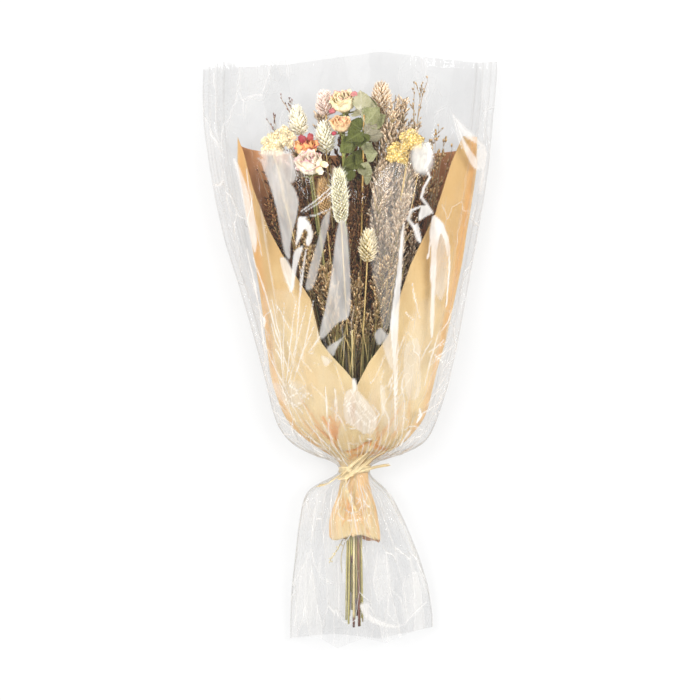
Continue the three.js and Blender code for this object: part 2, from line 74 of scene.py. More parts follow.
def add_node(tree, kind, sockets=None, stops=None, **settings):
    """Adds a shader node with its settings, its sockets' values or links, and the stops of a colour ramp.

    A socket that is given a node is linked to the first output that the node has in use."""
    node = tree.nodes.new("ShaderNode" + kind)
    for name, value in settings.items():
        setattr(node, name, value)
    for key, value in (sockets or {}).items():
        if isinstance(value, bpy.types.Node):
            value = next(output for output in value.outputs if output.enabled)
        if isinstance(value, bpy.types.NodeSocket):
            tree.links.new(value, node.inputs[key])
        elif hasattr(value, "__len__") and len(value) == 3 and len(node.inputs[key].default_value) == 4:
            node.inputs[key].default_value = (*value, 1.0)
        else:
            node.inputs[key].default_value = value
    if stops:
        elements = node.color_ramp.elements
        while len(elements) < len(stops):
            elements.new(1.0)
        for element, (place, shade) in zip(elements, stops):
            element.position = place
            element.color = (*shade, 1.0)
    return node


def new_material(name):
    """An empty node material, what adds a node to it, and the values that every point of a piece carries."""
    material = bpy.data.materials.new(name)
    material.use_nodes = True
    material.node_tree.nodes.clear()
    node = partial(add_node, material.node_tree)
    grain = node("Attribute", attribute_name="grain")
    look = node("Attribute", attribute_name="look")
    split_grain = node("SeparateXYZ", {0: grain.outputs["Vector"]})
    split_look = node("SeparateXYZ", {0: look.outputs["Vector"]})
    carried = {
        "grain": grain.outputs["Vector"],
        "across": split_grain.outputs[0],
        "along": split_grain.outputs[1],
        "tone": split_look.outputs[0],
        "reach": split_look.outputs[1],
        "extra": split_look.outputs[2],
        "object": node("TexCoord").outputs["Object"],
    }
    return material, node, carried


def textured(node, kind, vector, per_metre, sockets=None, **settings):
    """A texture node on a vector in metres, with so many features to the metre along each axis."""
    scaled = node("VectorMath", {0: vector, 1: per_metre}, operation="MULTIPLY")
    return node(kind, {"Vector": scaled, "Scale": 1.0, **(sockets or {})}, **settings)


def plant_material(name, places, codes, spread=0.35, roughness=0.8, fibre=(900, 90, 0), fibre_strength=0.35,
                   glow=0.0, bump_mm=0.15):
    """Dried plant matter: coloured from base to tip, each element a little lighter or darker, with fibres."""
    material, node, carried = new_material(name)
    body = node("ValToRGB", {0: carried["reach"]}, stops=list(zip(places, map(srgb, codes))))
    shade = node("MapRange", {0: carried["tone"], 3: 1 - spread, 4: 1 + spread})
    fibres = textured(node, "TexNoise", carried["grain"], fibre, {"Detail": 3.0, "Roughness": 0.6})
    mottled = textured(node, "TexNoise", carried["object"], (260, 260, 260))
    streak = node("MapRange", {0: fibres, 1: 0.3, 2: 0.7, 3: 1 - fibre_strength, 4: 1 + 0.6 * fibre_strength})
    blotch = node("MapRange", {0: mottled, 1: 0.3, 2: 0.7, 3: 0.86, 4: 1.12})
    value = node("Math", {0: shade, 1: streak}, operation="MULTIPLY")
    value = node("Math", {0: value, 1: blotch}, operation="MULTIPLY")
    colour = node("VectorMath", {0: body, 1: value}, operation="MULTIPLY")
    bump = node("Bump", {"Strength": 0.6, "Distance": bump_mm * MM, "Height": fibres})
    shader = node("BsdfPrincipled", {"Base Color": colour, "Roughness": roughness, "Normal": bump,
                                     "Specular IOR Level": 0.3})
    if glow:
        thin = node("BsdfTranslucent", {"Color": colour})
        shader = node("MixShader", {0: glow, 1: shader, 2: thin})
    node("OutputMaterial", {0: shader})
    return material


# ---------------------------------------------------------------- meshes from grown elements


def write_layers(mesh, grain, look):
    """Stores where each point lies in the pattern, in metres, and how it looks."""
    for label, values in (("grain", grain * MM), ("look", look)):
        layer = mesh.attributes.new(label, "FLOAT_VECTOR", "POINT")
        layer.data.foreach_set("vector", values.astype(np.float32).ravel())


class Growth:
    """Points and faces of many small shapes, gathered into one mesh with the values that they carry."""

    def __init__(self, seed):
        self.random = np.random.default_rng(seed)
        self.points, self.grain, self.look, self.faces, self.finish = [], [], [], [], []
        self.count = 0

    def add(self, shape, matrix=None, tone=0.5, finish=0):
        """Adds a copy of a shape, placed by a 4 x 4 matrix."""
        points = shape["points"]
        if matrix is not None:
            turn = np.array(matrix)
            points = points @ turn[:3, :3].T + turn[:3, 3]
        self.points.append(points)
        # Each copy reads another part of the pattern, so that no two look alike.
        self.grain.append(shape["grain"] + [0, 7.3 * tone, 11.1 * tone])
        self.look.append(np.column_stack([np.full(len(points), tone), shape["reach"], np.zeros(len(points))]))
        self.faces.extend([tuple(i + self.count for i in face) for face in shape["faces"]])
        self.finish.extend([finish] * len(shape["faces"]))
        self.count += len(points)

    def piece(self, name, materials, nodes):
        """Makes the mesh, which rides on the bunch and stands for the CAD nodes."""
        mesh = bpy.data.meshes.new(name)
        mesh.from_pydata((np.vstack(self.points) * MM).tolist(), [], self.faces)
        write_layers(mesh, np.vstack(self.grain), np.vstack(self.look))
        for material in materials:
            mesh.materials.append(material)
        mesh.polygons.foreach_set("material_index", np.array(self.finish, np.int32))
        mesh.polygons.foreach_set("use_smooth", np.full(len(self.faces), True))
        mesh.update()
        obj = bpy.data.objects.new(name, mesh)
        bpy.context.scene.collection.objects.link(obj)
        return settle(obj, nodes)


def settle(obj, nodes):
    """A finished piece rides on the bunch and stands for its CAD nodes."""
    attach(obj, "root")
    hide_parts(*nodes)
    return obj


def thicken(obj, thickness_mm, offset=0.0, **settings):
    """Gives a sheet its thickness with an applied modifier: half to each side, or inwards at -1."""
    bpy.ops.object.select_all(action="DESELECT")
    obj.select_set(True)
    bpy.context.view_layer.objects.active = obj
    bpy.ops.object.modifier_add(type="SOLIDIFY")
    modifier = obj.modifiers[-1]
    modifier.thickness = thickness_mm * MM
    modifier.offset = offset
    modifier.use_even_offset = False
    for name, value in settings.items():
        setattr(modifier, name, value)
    bpy.ops.object.modifier_apply(modifier=modifier.name)


def primitive_shape(add, **settings):
    """A primitive as a shape: its axis turned to +Y, reach from its base to its tip."""
    bpy.ops.object.select_all(action="DESELECT")
    add(**settings)
    obj = bpy.context.object
    points = np.array([vertex.co[:] for vertex in obj.data.vertices])[:, [0, 2, 1]] * [1, 1, -1]
    faces = [tuple(polygon.vertices) for polygon in obj.data.polygons]
    bpy.data.meshes.remove(obj.data)
    reach = (points[:, 1] - points[:, 1].min()) / np.ptp(points[:, 1])
    return {"points": points, "faces": faces, "grain": np.abs(points), "reach": reach}


def ball(segments, rings):
    """A ball of radius 1 with its poles on the Y axis."""
    add = bpy.ops.mesh.primitive_uv_sphere_add
    return primitive_shape(add, segments=segments, ring_count=rings, radius=1)


def reshaped(shape, points):
    """The shape with its points moved, its pattern laid out anew along and across it."""
    grain = np.column_stack([np.abs(points[:, 0]), points[:, 1], np.abs(points[:, 2])])
    return {**shape, "points": points, "grain": grain}


def grid_faces(rows, columns, around=False):
    """Quads between the points of a grid, closed into a tube if they go around."""
    return [
        (i * columns + j, i * columns + (j + 1) % columns, (i + 1) * columns + (j + 1) % columns,
         (i + 1) * columns + j)
        for i in range(rows - 1)
        for j in range(columns if around else columns - 1)
    ]


def grid_shape(points, across, along, reach, faces):
    """A shape from a grid of points, rows by columns, with its pattern and reach."""
    shape = points.shape[:2]
    grain = np.stack([np.broadcast_to(values, shape) for values in (across, along, 0.0)], axis=-1)
    return {"points": points.reshape(-1, 3), "faces": faces, "grain": grain.reshape(-1, 3),
            "reach": np.broadcast_to(reach, shape).reshape(-1)}


def patch(points, across, along, reach):
    """An open sheet from a grid of points, rows by columns."""
    return grid_shape(points, across, along, reach, grid_faces(*points.shape[:2]))


def rings_shape(rings, across, steps):
    """A closed strand from its rings of points, with a cap at each end."""
    rows, sides = rings.shape[:2]
    faces = grid_faces(rows, sides, around=True)
    faces.append(tuple(range(sides))[::-1])
    faces.append(tuple((rows - 1) * sides + j for j in range(sides)))
    return grid_shape(rings, across, steps[:, None], (steps / max(steps[-1], 1e-9))[:, None], faces)


def unit(vectors):
    """Vectors brought to length 1, and ones without length left as they are."""
    return vectors / np.maximum(np.linalg.norm(vectors, axis=-1, keepdims=True), 1e-9)


def heading(vector):
    """A single direction, brought to length 1."""
    return vector / np.linalg.norm(vector)


def lengths_along(path):
    """Distance from the start of a path to each of its points."""
    return np.r_[0, np.cumsum(np.linalg.norm(np.diff(path, axis=0), axis=1))]


def path_frames(path, up):
    """Two directions square to a path at each point: sideways and upwards."""
    tangents = unit(np.gradient(path, axis=0))
    side = unit(np.cross(tangents, np.broadcast_to(up, path.shape)))
    return side, np.cross(side, tangents)


def tube(path, radii, sides=6, flat=1.0, up=UP):
    """A closed round or flattened tube along a path, wide across "up" and flat times as high."""
    path = np.asarray(path, float)
    radii = np.broadcast_to(radii, len(path))
    side, top = path_frames(path, up)
    turn = 2 * math.pi * np.arange(sides) / sides
    rings = (
        path[:, None]
        + side[:, None] * np.cos(turn)[None, :, None] * radii[:, None, None]
        + top[:, None] * np.sin(turn)[None, :, None] * radii[:, None, None] * flat
    )
    around = np.abs(np.sin(turn / 2)) * 2
    return rings_shape(rings, around[None] * radii[:, None], lengths_along(path))


def frame_along(origin, direction, up=UP, size=1.0, thick=None, roll=0.0):
    """A matrix that turns +Y to the direction and +Z towards up, rolled about the direction.

    It scales a shape by size, or by size along it and by thick across it."""
    y = Vector(direction).normalized()
    hint = Vector(up)
    if abs(y.dot(hint)) > 0.98 * hint.length:
        hint = Vector((1, 0, 0))
    x = y.cross(hint).normalized()
    z = x.cross(y)
    turn = Matrix((x, y, z)).transposed().to_4x4()
    across = size if thick is None else thick
    return (Matrix.Translation(Vector(origin)) @ Matrix.Rotation(roll, 4, y) @ turn
            @ Matrix.Diagonal((across, size, across, 1)))


def smooth_path(points, count):
    """A smooth curve through the points, resampled evenly."""
    points = np.asarray(points, float)
    knots = lengths_along(points)
    padded = np.vstack([2 * points[0] - points[1], points, 2 * points[-1] - points[-2]])
    places = np.linspace(0, knots[-1], count)
    index = np.clip(np.searchsorted(knots, places, side="right") - 1, 0, len(points) - 2)
    t = ((places - knots[index]) / (knots[index + 1] - knots[index]))[:, None]
    p0, p1, p2, p3 = (padded[index + k] for k in range(4))
    return 0.5 * (2 * p1 + (p2 - p0) * t + (2 * p0 - 5 * p1 + 4 * p2 - p3) * t**2
                  + (3 * p1 - p0 - 3 * p2 + p3) * t**3)


def smoothstep(value, low, high):
    """0 below low, 1 above high, with a smooth rise between."""
    t = np.clip((value - low) / (high - low), 0, 1)
    return t * t * (3 - 2 * t)


def point_at(line, y):
    """The point of a line that runs up the bunch at a distance along it."""
    return np.array([np.interp(y, line[:, 1], line[:, k]) for k in range(3)])


# ---------------------------------------------------------------- shapes read from the frame


class Slices:
    """Cross-sections of a CAD node at a constant distance along the bunch, in millimetres."""

    def __init__(self, *names):
        starts, ends = [], []
        for name in names:
            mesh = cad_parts[name].data
            points = np.empty(len(mesh.vertices) * 3)
            mesh.vertices.foreach_get("co", points)
            points = points.reshape(-1, 3) / MM
            edges = np.empty(len(mesh.edges) * 2, np.int32)
            mesh.edges.foreach_get("vertices", edges)
            edges = edges.reshape(-1, 2)
            starts.append(points[edges[:, 0]])
            ends.append(points[edges[:, 1]])
        self.start, self.end = np.vstack(starts), np.vstack(ends)

    def at(self, y, near=None, within=0.0):
        """Points where the node's edges cross at that place along the bunch: all, or those near a point."""
        a, b = self.start, self.end
        crossing = (a[:, 1] - y) * (b[:, 1] - y) < 0
        a, b = a[crossing], b[crossing]
        cut = a + (b - a) * ((y - a[:, 1]) / (b[:, 1] - a[:, 1]))[:, None]
        if near is None:
            return cut
        return cut[np.linalg.norm(cut - near, axis=1) < within]


STEM_REACH = 3.2  # a stem's section lies within this distance of the place its line leads to


def stem_line(name, top, steps=26):
    """The middle of a stem from its foot to a height, followed through the node's sections."""
    slices = Slices(name)
    foot = slices.start[:, 1].min() + 0.6
    line = []
    near, slope = None, np.zeros(3)
    for y in np.linspace(foot, top, steps):
        guess = None if near is None else near + slope * (y - near[1])
        if guess is not None:
            guess[1] = y
        cut = slices.at(y, guess, STEM_REACH)
        if not len(cut):
            break
        middle = (cut.min(0) + cut.max(0)) / 2
        if near is not None:
            slope = (middle - near) / (y - near[1])
        line.append(middle)
        near = middle
    return np.array(line)


FILM_Y = np.concatenate([np.arange(-284, -121, 4.0), np.arange(-119, 283, 4.0)])


def film_profiles():
    """Left, right, crown and seam height of the film's front along the bunch."""
    slices = Slices("sleeve_front_film", "skirt_front_film")
    rows = [slices.at(y) for y in FILM_Y]
    return {
        "left": np.array([row[:, 0].min() for row in rows]),
        "right": np.array([row[:, 0].max() for row in rows]),
        "crown": np.array([row[:, 2].max() for row in rows]),
        "seam": np.array([row[row[:, 0].argmax(), 2] for row in rows]),
    }


def soften(values, passes):
    """Rounds the corners that the CAD's rows leave in a profile."""
    for _ in range(passes):
        padded = np.r_[values[0], values, values[-1]]
        values = (padded[:-2] + 2 * padded[1:-1] + padded[2:]) / 4
    return values


FILM = {name: soften(values, 2) for name, values in film_profiles().items()}
FILM["roundness"] = np.interp(FILM_Y, [-215, -190, -150, -126, -114, -85, -25], [0.1, 0.5, 0.8, 1, 1, 0.3, 0])
FILM["flat"] = np.interp(FILM_Y, [-195, -150], [0.78, 0.45])
FILM["belly"] = np.interp(FILM_Y, [-160, -126, -114, -90, -60], [0, 5.1, 5.1, 1.5, 0])


def lens(side, y, inset_side=0.0, inset_crown=0.0, back=False, left=None, right=None):
    """Points on the lens-shaped wrap: side from -1 at the left seam to 1 at the right one."""
    read = {name: np.interp(y, FILM_Y, values) for name, values in FILM.items()}
    left = read["left"] + inset_side if left is None else left
    right = read["right"] - inset_side if right is None else right
    x = (left + right) / 2 + (right - left) / 2 * side
    cosine = np.sqrt(np.clip(1 - side**2, 0, 1))
    round_share = read["roundness"]
    if back:
        bend = np.clip((np.abs(side) - read["flat"]) / (1 - read["flat"]), 0, None)
        dish = (1 - round_share) * (1 - bend**2) + round_share * cosine
        z = read["seam"] - (read["seam"] - read["belly"] - inset_crown) * dish
    else:
        arch = (1 - round_share) * cosine**1.5 + round_share * cosine
        z = read["seam"] + (read["crown"] - inset_crown - read["seam"]) * arch
    return np.stack([x, y + 0 * x, z], axis=-1)


def grid_normals(points, outward_z):
    """Normals of a grid of points, turned so that its middle faces up or down."""
    normals = unit(np.cross(np.gradient(points, axis=1), np.gradient(points, axis=0)))
    middle = normals[normals.shape[0] // 2, normals.shape[1] // 2, 2]
    return normals * np.sign(middle * outward_z)


# ---------------------------------------------------------------- marks on the film


def photo_mm(points):
    """Marks in the picture, as millimetres on the object seen from above."""
    marks = np.asarray(points, float)
    return np.column_stack([marks[:, 0] - PHOTO_CENTRE, PHOTO_CENTRE - marks[:, 1]])


def line_share(x, y, start, end):
    """How far along a straight piece of line, from 0 to 1, the point of it next to every point lies."""
    direction = end - start
    share = ((x - start[0]) * direction[0] + (y - start[1]) * direction[1]) / (direction @ direction)
    return np.clip(share, 0, 1)


def line_distance(x, y, start, end):
    """Distance from every point to a straight piece of line."""
    share, direction = line_share(x, y, start, end), end - start
    return np.hypot(x - start[0] - share * direction[0], y - start[1] - share * direction[1])


def patch_cover(x, y, outline, softness):
    """1 inside an outline and 0 outside it, with an edge as soft as given."""
    inside = np.zeros(x.shape, bool)
    distance = np.full(x.shape, 1e9)
    for start, end in zip(outline, np.roll(outline, -1, axis=0)):
        distance = np.minimum(distance, line_distance(x, y, start, end))
        if start[1] == end[1]:
            continue
        crosses = (start[1] > y) != (end[1] > y)
        inside ^= crosses & (x < (end[0] - start[0]) * (y - start[1]) / (end[1] - start[1]) + start[0])
    signed = np.where(inside, distance, -distance)
    return smoothstep(signed, -softness, softness)


def rounded(outline):
    """An outline with its corners cut back twice, as film bends."""
    for _ in range(2):
        ahead = np.roll(outline, -1, axis=0)
        outline = np.stack([0.8 * outline + 0.2 * ahead, 0.2 * outline + 0.8 * ahead], axis=1).reshape(-1, 2)
    return outline


def streak_cover(x, y, line, width):
    """1 along a line that tapers at both ends, fading over its width."""
    cover = np.zeros(x.shape)
    lengths = lengths_along(line)
    for i, (start, end) in enumerate(zip(line[:-1], line[1:])):
        place = (lengths[i] + line_share(x, y, start, end) * (lengths[i + 1] - lengths[i])) / lengths[-1]
        half = width * (0.25 + 0.75 * np.sqrt(np.clip(4 * place * (1 - place), 0, 1)))
        cover = np.maximum(cover, 1 - smoothstep(line_distance(x, y, start, end), 0.35 * half, half))
    return cover


# Painted reflections of the lights, where the film shows milky white patches: strength, softness of the edge
# in mm, outline in the picture.
REFLECTION_PATCHES = [
    (0.5, 2.0, [(257, 152), (267, 164), (274, 184), (285, 190), (298, 182), (296, 166), (292, 154),
        (272, 152)]),
    (0.56, 0.7, [(256, 158), (262, 163), (268, 180), (275, 199), (279, 215), (281, 228), (285, 254),
        (291, 262), (291, 248), (294, 232), (298, 217), (300, 203), (296, 190), (288, 182), (284, 168)]),
    (0.1, 2.0, [(258, 290), (294, 290), (304, 310), (311, 345), (324, 364), (348, 388), (350, 440),
        (300, 430), (270, 380)]),
    (0.1, 2.0, [(368, 388), (396, 350), (408, 325), (416, 300), (445, 300), (435, 380), (400, 430),
        (360, 440)]),
    (0.62, 0.7, [(454, 116), (462, 136), (469, 149), (475, 157), (479, 170), (473, 169), (466, 156),
        (460, 138)]),
    (0.55, 0.7, [(454, 116), (468, 130), (480, 141), (487, 149), (478, 145), (462, 136)]),
    (0.5, 0.7, [(478, 145), (487, 149), (485, 166), (479, 171), (475, 157)]),
    (0.3, 1.5, [(479, 170), (485, 166), (482, 195), (476, 190)]),
    (0.5, 0.9, [(338, 222), (347, 222), (350, 268), (351, 318), (337, 323), (323, 340), (319, 336),
        (330, 289)]),
    (0.4, 0.8, [(331, 210), (329, 228), (322, 256), (314, 290), (305, 291), (312, 262), (320, 236),
        (323, 220)]),
    (0.15, 1.6, [(384, 168), (398, 163), (408, 168), (412, 176), (416, 192), (410, 210), (404, 226),
        (402, 267), (399, 296), (387, 332), (381, 326), (379, 300), (372, 277), (368, 238), (372, 190)]),
    (0.9, 0.6, [(299, 218), (305, 219), (311, 225), (314, 237), (309, 249), (306, 243), (309, 234),
        (305, 229), (302, 238), (296, 249), (298, 234)]),
    (0.9, 0.6, [(295, 251), (305, 246), (301, 257), (297, 270), (294, 292), (291, 290), (293, 268)]),
    (0.95, 0.5, [(420, 207), (426, 207), (432, 214), (424, 218), (416, 223), (418, 214)]),
    (0.8, 0.6, [(416, 223), (420, 237), (420, 244), (415, 241), (412, 228)]),
    (0.55, 3.0, [(412, 150), (420, 146), (430, 151), (432, 165), (425, 177), (415, 175), (409, 162)]),
    (0.9, 0.6, [(432, 215), (440, 222), (447, 235), (449, 250), (447, 259), (444, 243), (438, 232),
        (437, 243), (433, 267), (430, 287), (429, 266), (430, 250), (428, 233), (430, 222)]),
    (0.92, 0.5, [(402, 224), (404, 226), (402, 270), (399, 299), (397, 327), (396, 344), (396, 395),
        (394, 395), (391, 346), (389, 327), (393, 299), (397, 270)]),
    (0.7, 0.8, [(233, 157), (238, 162), (248, 188), (255, 218), (258, 240), (256, 255), (252, 246),
        (248, 220), (240, 182)]),
    (0.7, 0.9, [(280, 257), (288, 259), (295, 277), (292, 296), (288, 284), (284, 274)]),
    (0.5, 0.9, [(325, 348), (343, 338), (346, 334), (336, 349), (334, 357)]),
    (0.5, 0.9, [(373, 334), (380, 327), (387, 335), (378, 347)]),
    (0.9, 0.9, [(352, 377), (356, 379), (357, 389), (353, 394)]),
    (0.5, 0.9, [(320, 353), (332, 360), (326, 368)]),
    (0.35, 0.9, [(402, 344), (420, 334), (421, 398), (404, 402)]),
    (0.5, 1.2, [(344, 391), (356, 387), (379, 415), (373, 432), (364, 434), (356, 428), (343, 420)]),
    (0.45, 0.9, [(379, 383), (385, 386), (384, 417), (380, 410)]),
    (0.4, 0.9, [(380, 338), (394, 330), (393, 372), (388, 366)]),
    (0.35, 2.0, [(429, 236), (438, 226), (448, 248), (447, 285), (440, 304), (433, 290)]),
    (0.3, 2.5, [(268, 380), (284, 384), (300, 378), (312, 392), (300, 408), (282, 404)]),
    (0.22, 3.0, [(330, 400), (342, 390), (346, 424), (332, 420)]),
    (0.22, 3.0, [(384, 400), (404, 392), (408, 424), (390, 436), (380, 420)]),
    (0.75, 0.8, [(359, 604), (369, 602), (369, 616), (386, 624), (402, 627), (393, 629), (374, 625),
        (363, 616)]),
    (0.22, 2.5, [(402, 627), (428, 602), (426, 574), (406, 577), (402, 598)]),
    (0.2, 2.5, [(297, 570), (310, 556), (318, 590), (312, 628), (296, 626)]),
    (0.2, 2.5, [(376, 552), (388, 556), (396, 590), (384, 604), (374, 590)]),
]
# Corner of the mouth where the film is crumpled, in the picture.
CRUMPLED_CORNER = [(206, 72), (222, 64), (300, 68), (262, 92), (238, 128), (212, 150)]
# The open V of the paper, over which the film lies tight and clear between the painted reflections.
CLEAR_VIEW = [(240, 152), (255, 190), (270, 226), (282, 254), (311, 302), (321, 345), (335, 362), (357, 386),
              (387, 345), (397, 318), (408, 290), (425, 243), (439, 207), (446, 177), (452, 150), (400, 160),
              (360, 190), (300, 190)]
# Painted highlights along creases, where they mirror the lights: strength, half width in mm, then points
# along the crease in the picture.
HIGHLIGHT_STREAKS = [
    (0.85, 1.2, [(427, 259), (430, 238), (434, 218), (443, 230), (449, 248), (448, 285), (445, 307)]),
    (0.8, 3.4, [(432, 222), (434, 250), (433, 287), (431, 337)]),
    (0.85, 1.0, [(393, 362), (394, 400), (395, 431)]),
    (0.7, 1.2, [(248, 248), (256, 285), (262, 330), (268, 366)]),
    (0.75, 1.0, [(253, 255), (267, 299), (277, 335), (290, 372)]),
    (0.7, 1.0, [(302, 267), (300, 300), (298, 340), (290, 372)]),
    (0.8, 1.1, [(326, 386), (327, 400), (328, 416)]),
    (0.7, 1.2, [(335, 388), (337, 405), (336, 420)]),
    (0.9, 1.5, [(419, 408), (421, 415), (417, 423)]),
    (0.8, 2.0, [(411, 430), (405, 438), (399, 445)]),
    (0.6, 1.2, [(310, 352), (318, 340), (325, 330)]),
    (0.7, 0.9, [(314, 300), (310, 322), (306, 345), (298, 372)]),
    (0.6, 1.0, [(438, 330), (430, 358), (424, 385)]),
    (0.75, 0.9, [(412, 283), (414, 300), (420, 318)]),
    (0.65, 0.9, [(330, 211), (316, 217), (304, 219)]),
    (0.6, 0.8, [(278, 385), (292, 402), (306, 425)]),
    (0.6, 0.8, [(292, 380), (305, 405), (318, 430)]),
    (0.7, 0.8, [(330, 440), (341, 456), (350, 470)]),
    (1.0, 1.8, [(425, 171), (428, 179), (422, 190), (420, 199), (426, 207), (432, 214)]),
    (1.0, 2.0, [(421, 207), (410, 212), (407, 220), (413, 228), (417, 240), (420, 244)]),
    (0.95, 1.3, [(449, 250), (449, 268), (447, 290), (446, 306)]),
    (0.85, 1.0, [(429, 248), (426, 260)]),
    (0.8, 1.3, [(307, 250), (304, 270), (301, 296)]),
    (0.75, 1.0, [(302, 213), (316, 203), (331, 190)]),
    (0.7, 0.9, [(304, 214), (318, 206), (332, 194)]),
    (0.6, 0.9, [(246, 165), (252, 200), (259, 236), (262, 258)]),
    (0.75, 1.1, [(453, 116), (462, 128), (474, 142)]),
    (0.6, 0.9, [(453, 116), (457, 134), (462, 150)]),
    (0.6, 0.8, [(350, 478), (346, 489), (352, 498), (349, 507)]),
    (0.65, 0.8, [(344, 509), (351, 513), (359, 511), (362, 504)]),
    (0.55, 0.7, [(362, 486), (367, 497), (363, 508)]),
    (0.6, 0.7, [(337, 512), (343, 519), (354, 521), (362, 518)]),
    (0.55, 0.7, [(355, 497), (360, 500), (356, 505)]),
    (0.5, 0.7, [(371, 512), (366, 520), (370, 528)]),
    (0.55, 0.7, [(342, 492), (338, 502), (335, 514)]),
    (0.8, 0.8, [(272, 300), (281, 345), (284, 388)]),
    (0.7, 0.7, [(285, 300), (284, 345), (285, 388)]),
    (0.8, 0.8, [(297, 300), (291, 345), (287, 388)]),
    (0.7, 0.7, [(307, 305), (297, 350), (289, 388)]),
    (0.65, 0.7, [(316, 322), (303, 356), (291, 388)]),
    (0.75, 0.9, [(284, 390), (292, 396), (300, 392), (310, 398)]),
    (0.75, 0.9, [(286, 399), (296, 404), (306, 401)]),
    (0.7, 0.9, [(290, 384), (298, 390), (307, 385)]),
    (0.65, 0.8, [(300, 401), (308, 392), (315, 396)]),
    (0.75, 1.0, [(352, 395), (347, 405), (354, 415), (350, 426)]),
    (0.75, 1.0, [(360, 397), (366, 407), (360, 418), (368, 427)]),
    (0.7, 0.9, [(372, 404), (379, 413), (372, 422)]),
    (0.65, 0.8, [(355, 410), (364, 414), (373, 411)]),
    (0.7, 0.9, [(427, 353), (436, 346), (443, 339)]),
    (0.65, 0.8, [(431, 361), (440, 352), (447, 344)]),
    (0.75, 0.8, [(399, 300), (397, 350), (396, 412)]),
    (0.85, 0.9, [(345, 395), (353, 425), (362, 417), (348, 403), (358, 400), (375, 418), (362, 425)]),
    (0.85, 0.9, [(350, 388), (360, 408), (370, 420), (368, 431)]),
    (0.8, 0.8, [(346, 410), (356, 412), (366, 424), (374, 428)]),
    (0.7, 0.9, [(403, 372), (401, 388), (404, 402), (402, 425)]),
    (0.7, 0.9, [(386, 384), (380, 390), (382, 404), (388, 418), (387, 436)]),
    (0.6, 0.8, [(292, 428), (310, 443), (336, 462)]),
    (0.6, 0.8, [(297, 422), (316, 440), (340, 462)]),
    (0.6, 0.8, [(306, 418), (322, 438), (342, 461)]),
    (0.6, 0.8, [(290, 437), (308, 449), (334, 464)]),
    (0.7, 0.8, [(322, 420), (327, 430), (334, 438)]),
    (0.7, 0.8, [(330, 418), (329, 428), (333, 446)]),
    (0.6, 0.8, [(414, 436), (404, 446), (388, 458)]),
    (0.6, 0.8, [(420, 430), (408, 444), (384, 461)]),
    (0.6, 1.2, [(402, 627), (415, 614), (428, 602)]),
    (0.55, 1.0, [(402, 627), (392, 619), (385, 610)]),
    (0.45, 1.0, [(377, 550), (376, 565), (373, 580), (378, 603)]),
    (0.5, 0.9, [(385, 553), (388, 587), (400, 598), (403, 612)]),
    (0.4, 0.9, [(373, 581), (382, 576), (388, 588), (378, 603)]),
    (0.4, 1.4, [(292, 587), (303, 568), (312, 550)]),
    (0.4, 1.2, [(312, 550), (315, 563), (322, 578), (335, 585)]),
    (0.35, 1.6, [(338, 563), (339, 590), (338, 620)]),
    (0.4, 2.4, [(307, 553), (306, 585), (304, 622)]),
    (0.35, 2.4, [(302, 570), (298, 600), (294, 628)]),
    (0.35, 2.2, [(385, 493), (402, 525), (418, 563), (427, 597)]),
    (0.5, 0.9, [(377, 482), (385, 488), (392, 500), (396, 512)]),
    (0.4, 1.0, [(405, 577), (416, 573), (427, 578)]),
    (0.4, 1.0, [(405, 577), (402, 590), (406, 600)]),
    (0.35, 1.6, [(318, 492), (314, 520), (311, 545)]),
]


def painted_reflection_amount(x, y):
    """How much painted reflection and highlight the front film carries at each point."""
    painted_shine = np.zeros(x.shape)
    for strength, softness, outline in REFLECTION_PATCHES:
        painted_shine = np.maximum(painted_shine, strength * patch_cover(x, y, rounded(photo_mm(outline)), softness))
    for strength, width, line in HIGHLIGHT_STREAKS:
        painted_shine = np.maximum(painted_shine, strength * streak_cover(x, y, photo_mm(line), width))
    return painted_shine


def painted_glint_cover(random, x, y, count):
    """Painted glints: thin bright lines over the paper that run towards the tie, with short ones across them.
    """
    cover = np.zeros(x.shape)
    for number in range(count):
        middle = np.array([random.uniform(-100, 100), random.uniform(-112, 40)])
        way = heading(NECK[:2] - middle)
        turn = random.normal(0, 0.16) if number % 4 else random.uniform(0.5, 2.6)
        way = np.array([way[0] * math.cos(turn) - way[1] * math.sin(turn),
                        way[0] * math.sin(turn) + way[1] * math.cos(turn)])
        half = random.uniform(5, 22) if number % 4 else random.uniform(3, 7)
        bend = np.array([-way[1], way[0]]) * random.normal(0, 0.08) * half
        line = np.array([middle - way * half, middle + bend, middle + way * half])
        strength = random.uniform(0.25, 0.85)
        cover = np.maximum(cover, strength * streak_cover(x, y, line, random.uniform(0.6, 1.1)))
    return cover


def random_creases(random, count, reach, height):
    """Straight creases: middle, angle, length, half width, height. Most run with the gathers."""
    creases = []
    middles, halves = (FILM["right"] + FILM["left"]) / 2, (FILM["right"] - FILM["left"]) / 2
    for _ in range(count):
        y, side = random.uniform(*reach), random.uniform(-1, 1)
        x, ahead = (np.interp(y + step, FILM_Y, middles) + np.interp(y + step, FILM_Y, halves) * side
                    for step in (0, 3))
        with_gathers = random.random() < 0.97
        if with_gathers:
            angle = math.atan2(3, ahead - x) + random.normal(0, 0.12)
            length = random.uniform(25, 120)
        else:
            angle, length = random.uniform(0, math.pi), random.uniform(8, 22)
        creases.append((x, y, angle, length, random.uniform(1.8, 7), height * random.normal(0, 1)))
    return creases


def crease_relief(x, y, creases):
    """Height of all creases together: sharp at the fold, flat facets beside it."""
    relief = np.zeros(x.shape)
    for cx, cy, angle, length, width, height in creases:
        c, s = math.cos(angle), math.sin(angle)
        along = (x - cx) * c + (y - cy) * s
        across = np.abs((y - cy) * c - (x - cx) * s)
        ridge = np.clip(1 - across / width, 0, 1) * np.sqrt(np.clip(1 - (2 * along / length) ** 2, 0, 1))
        relief += height * ridge
    return relief


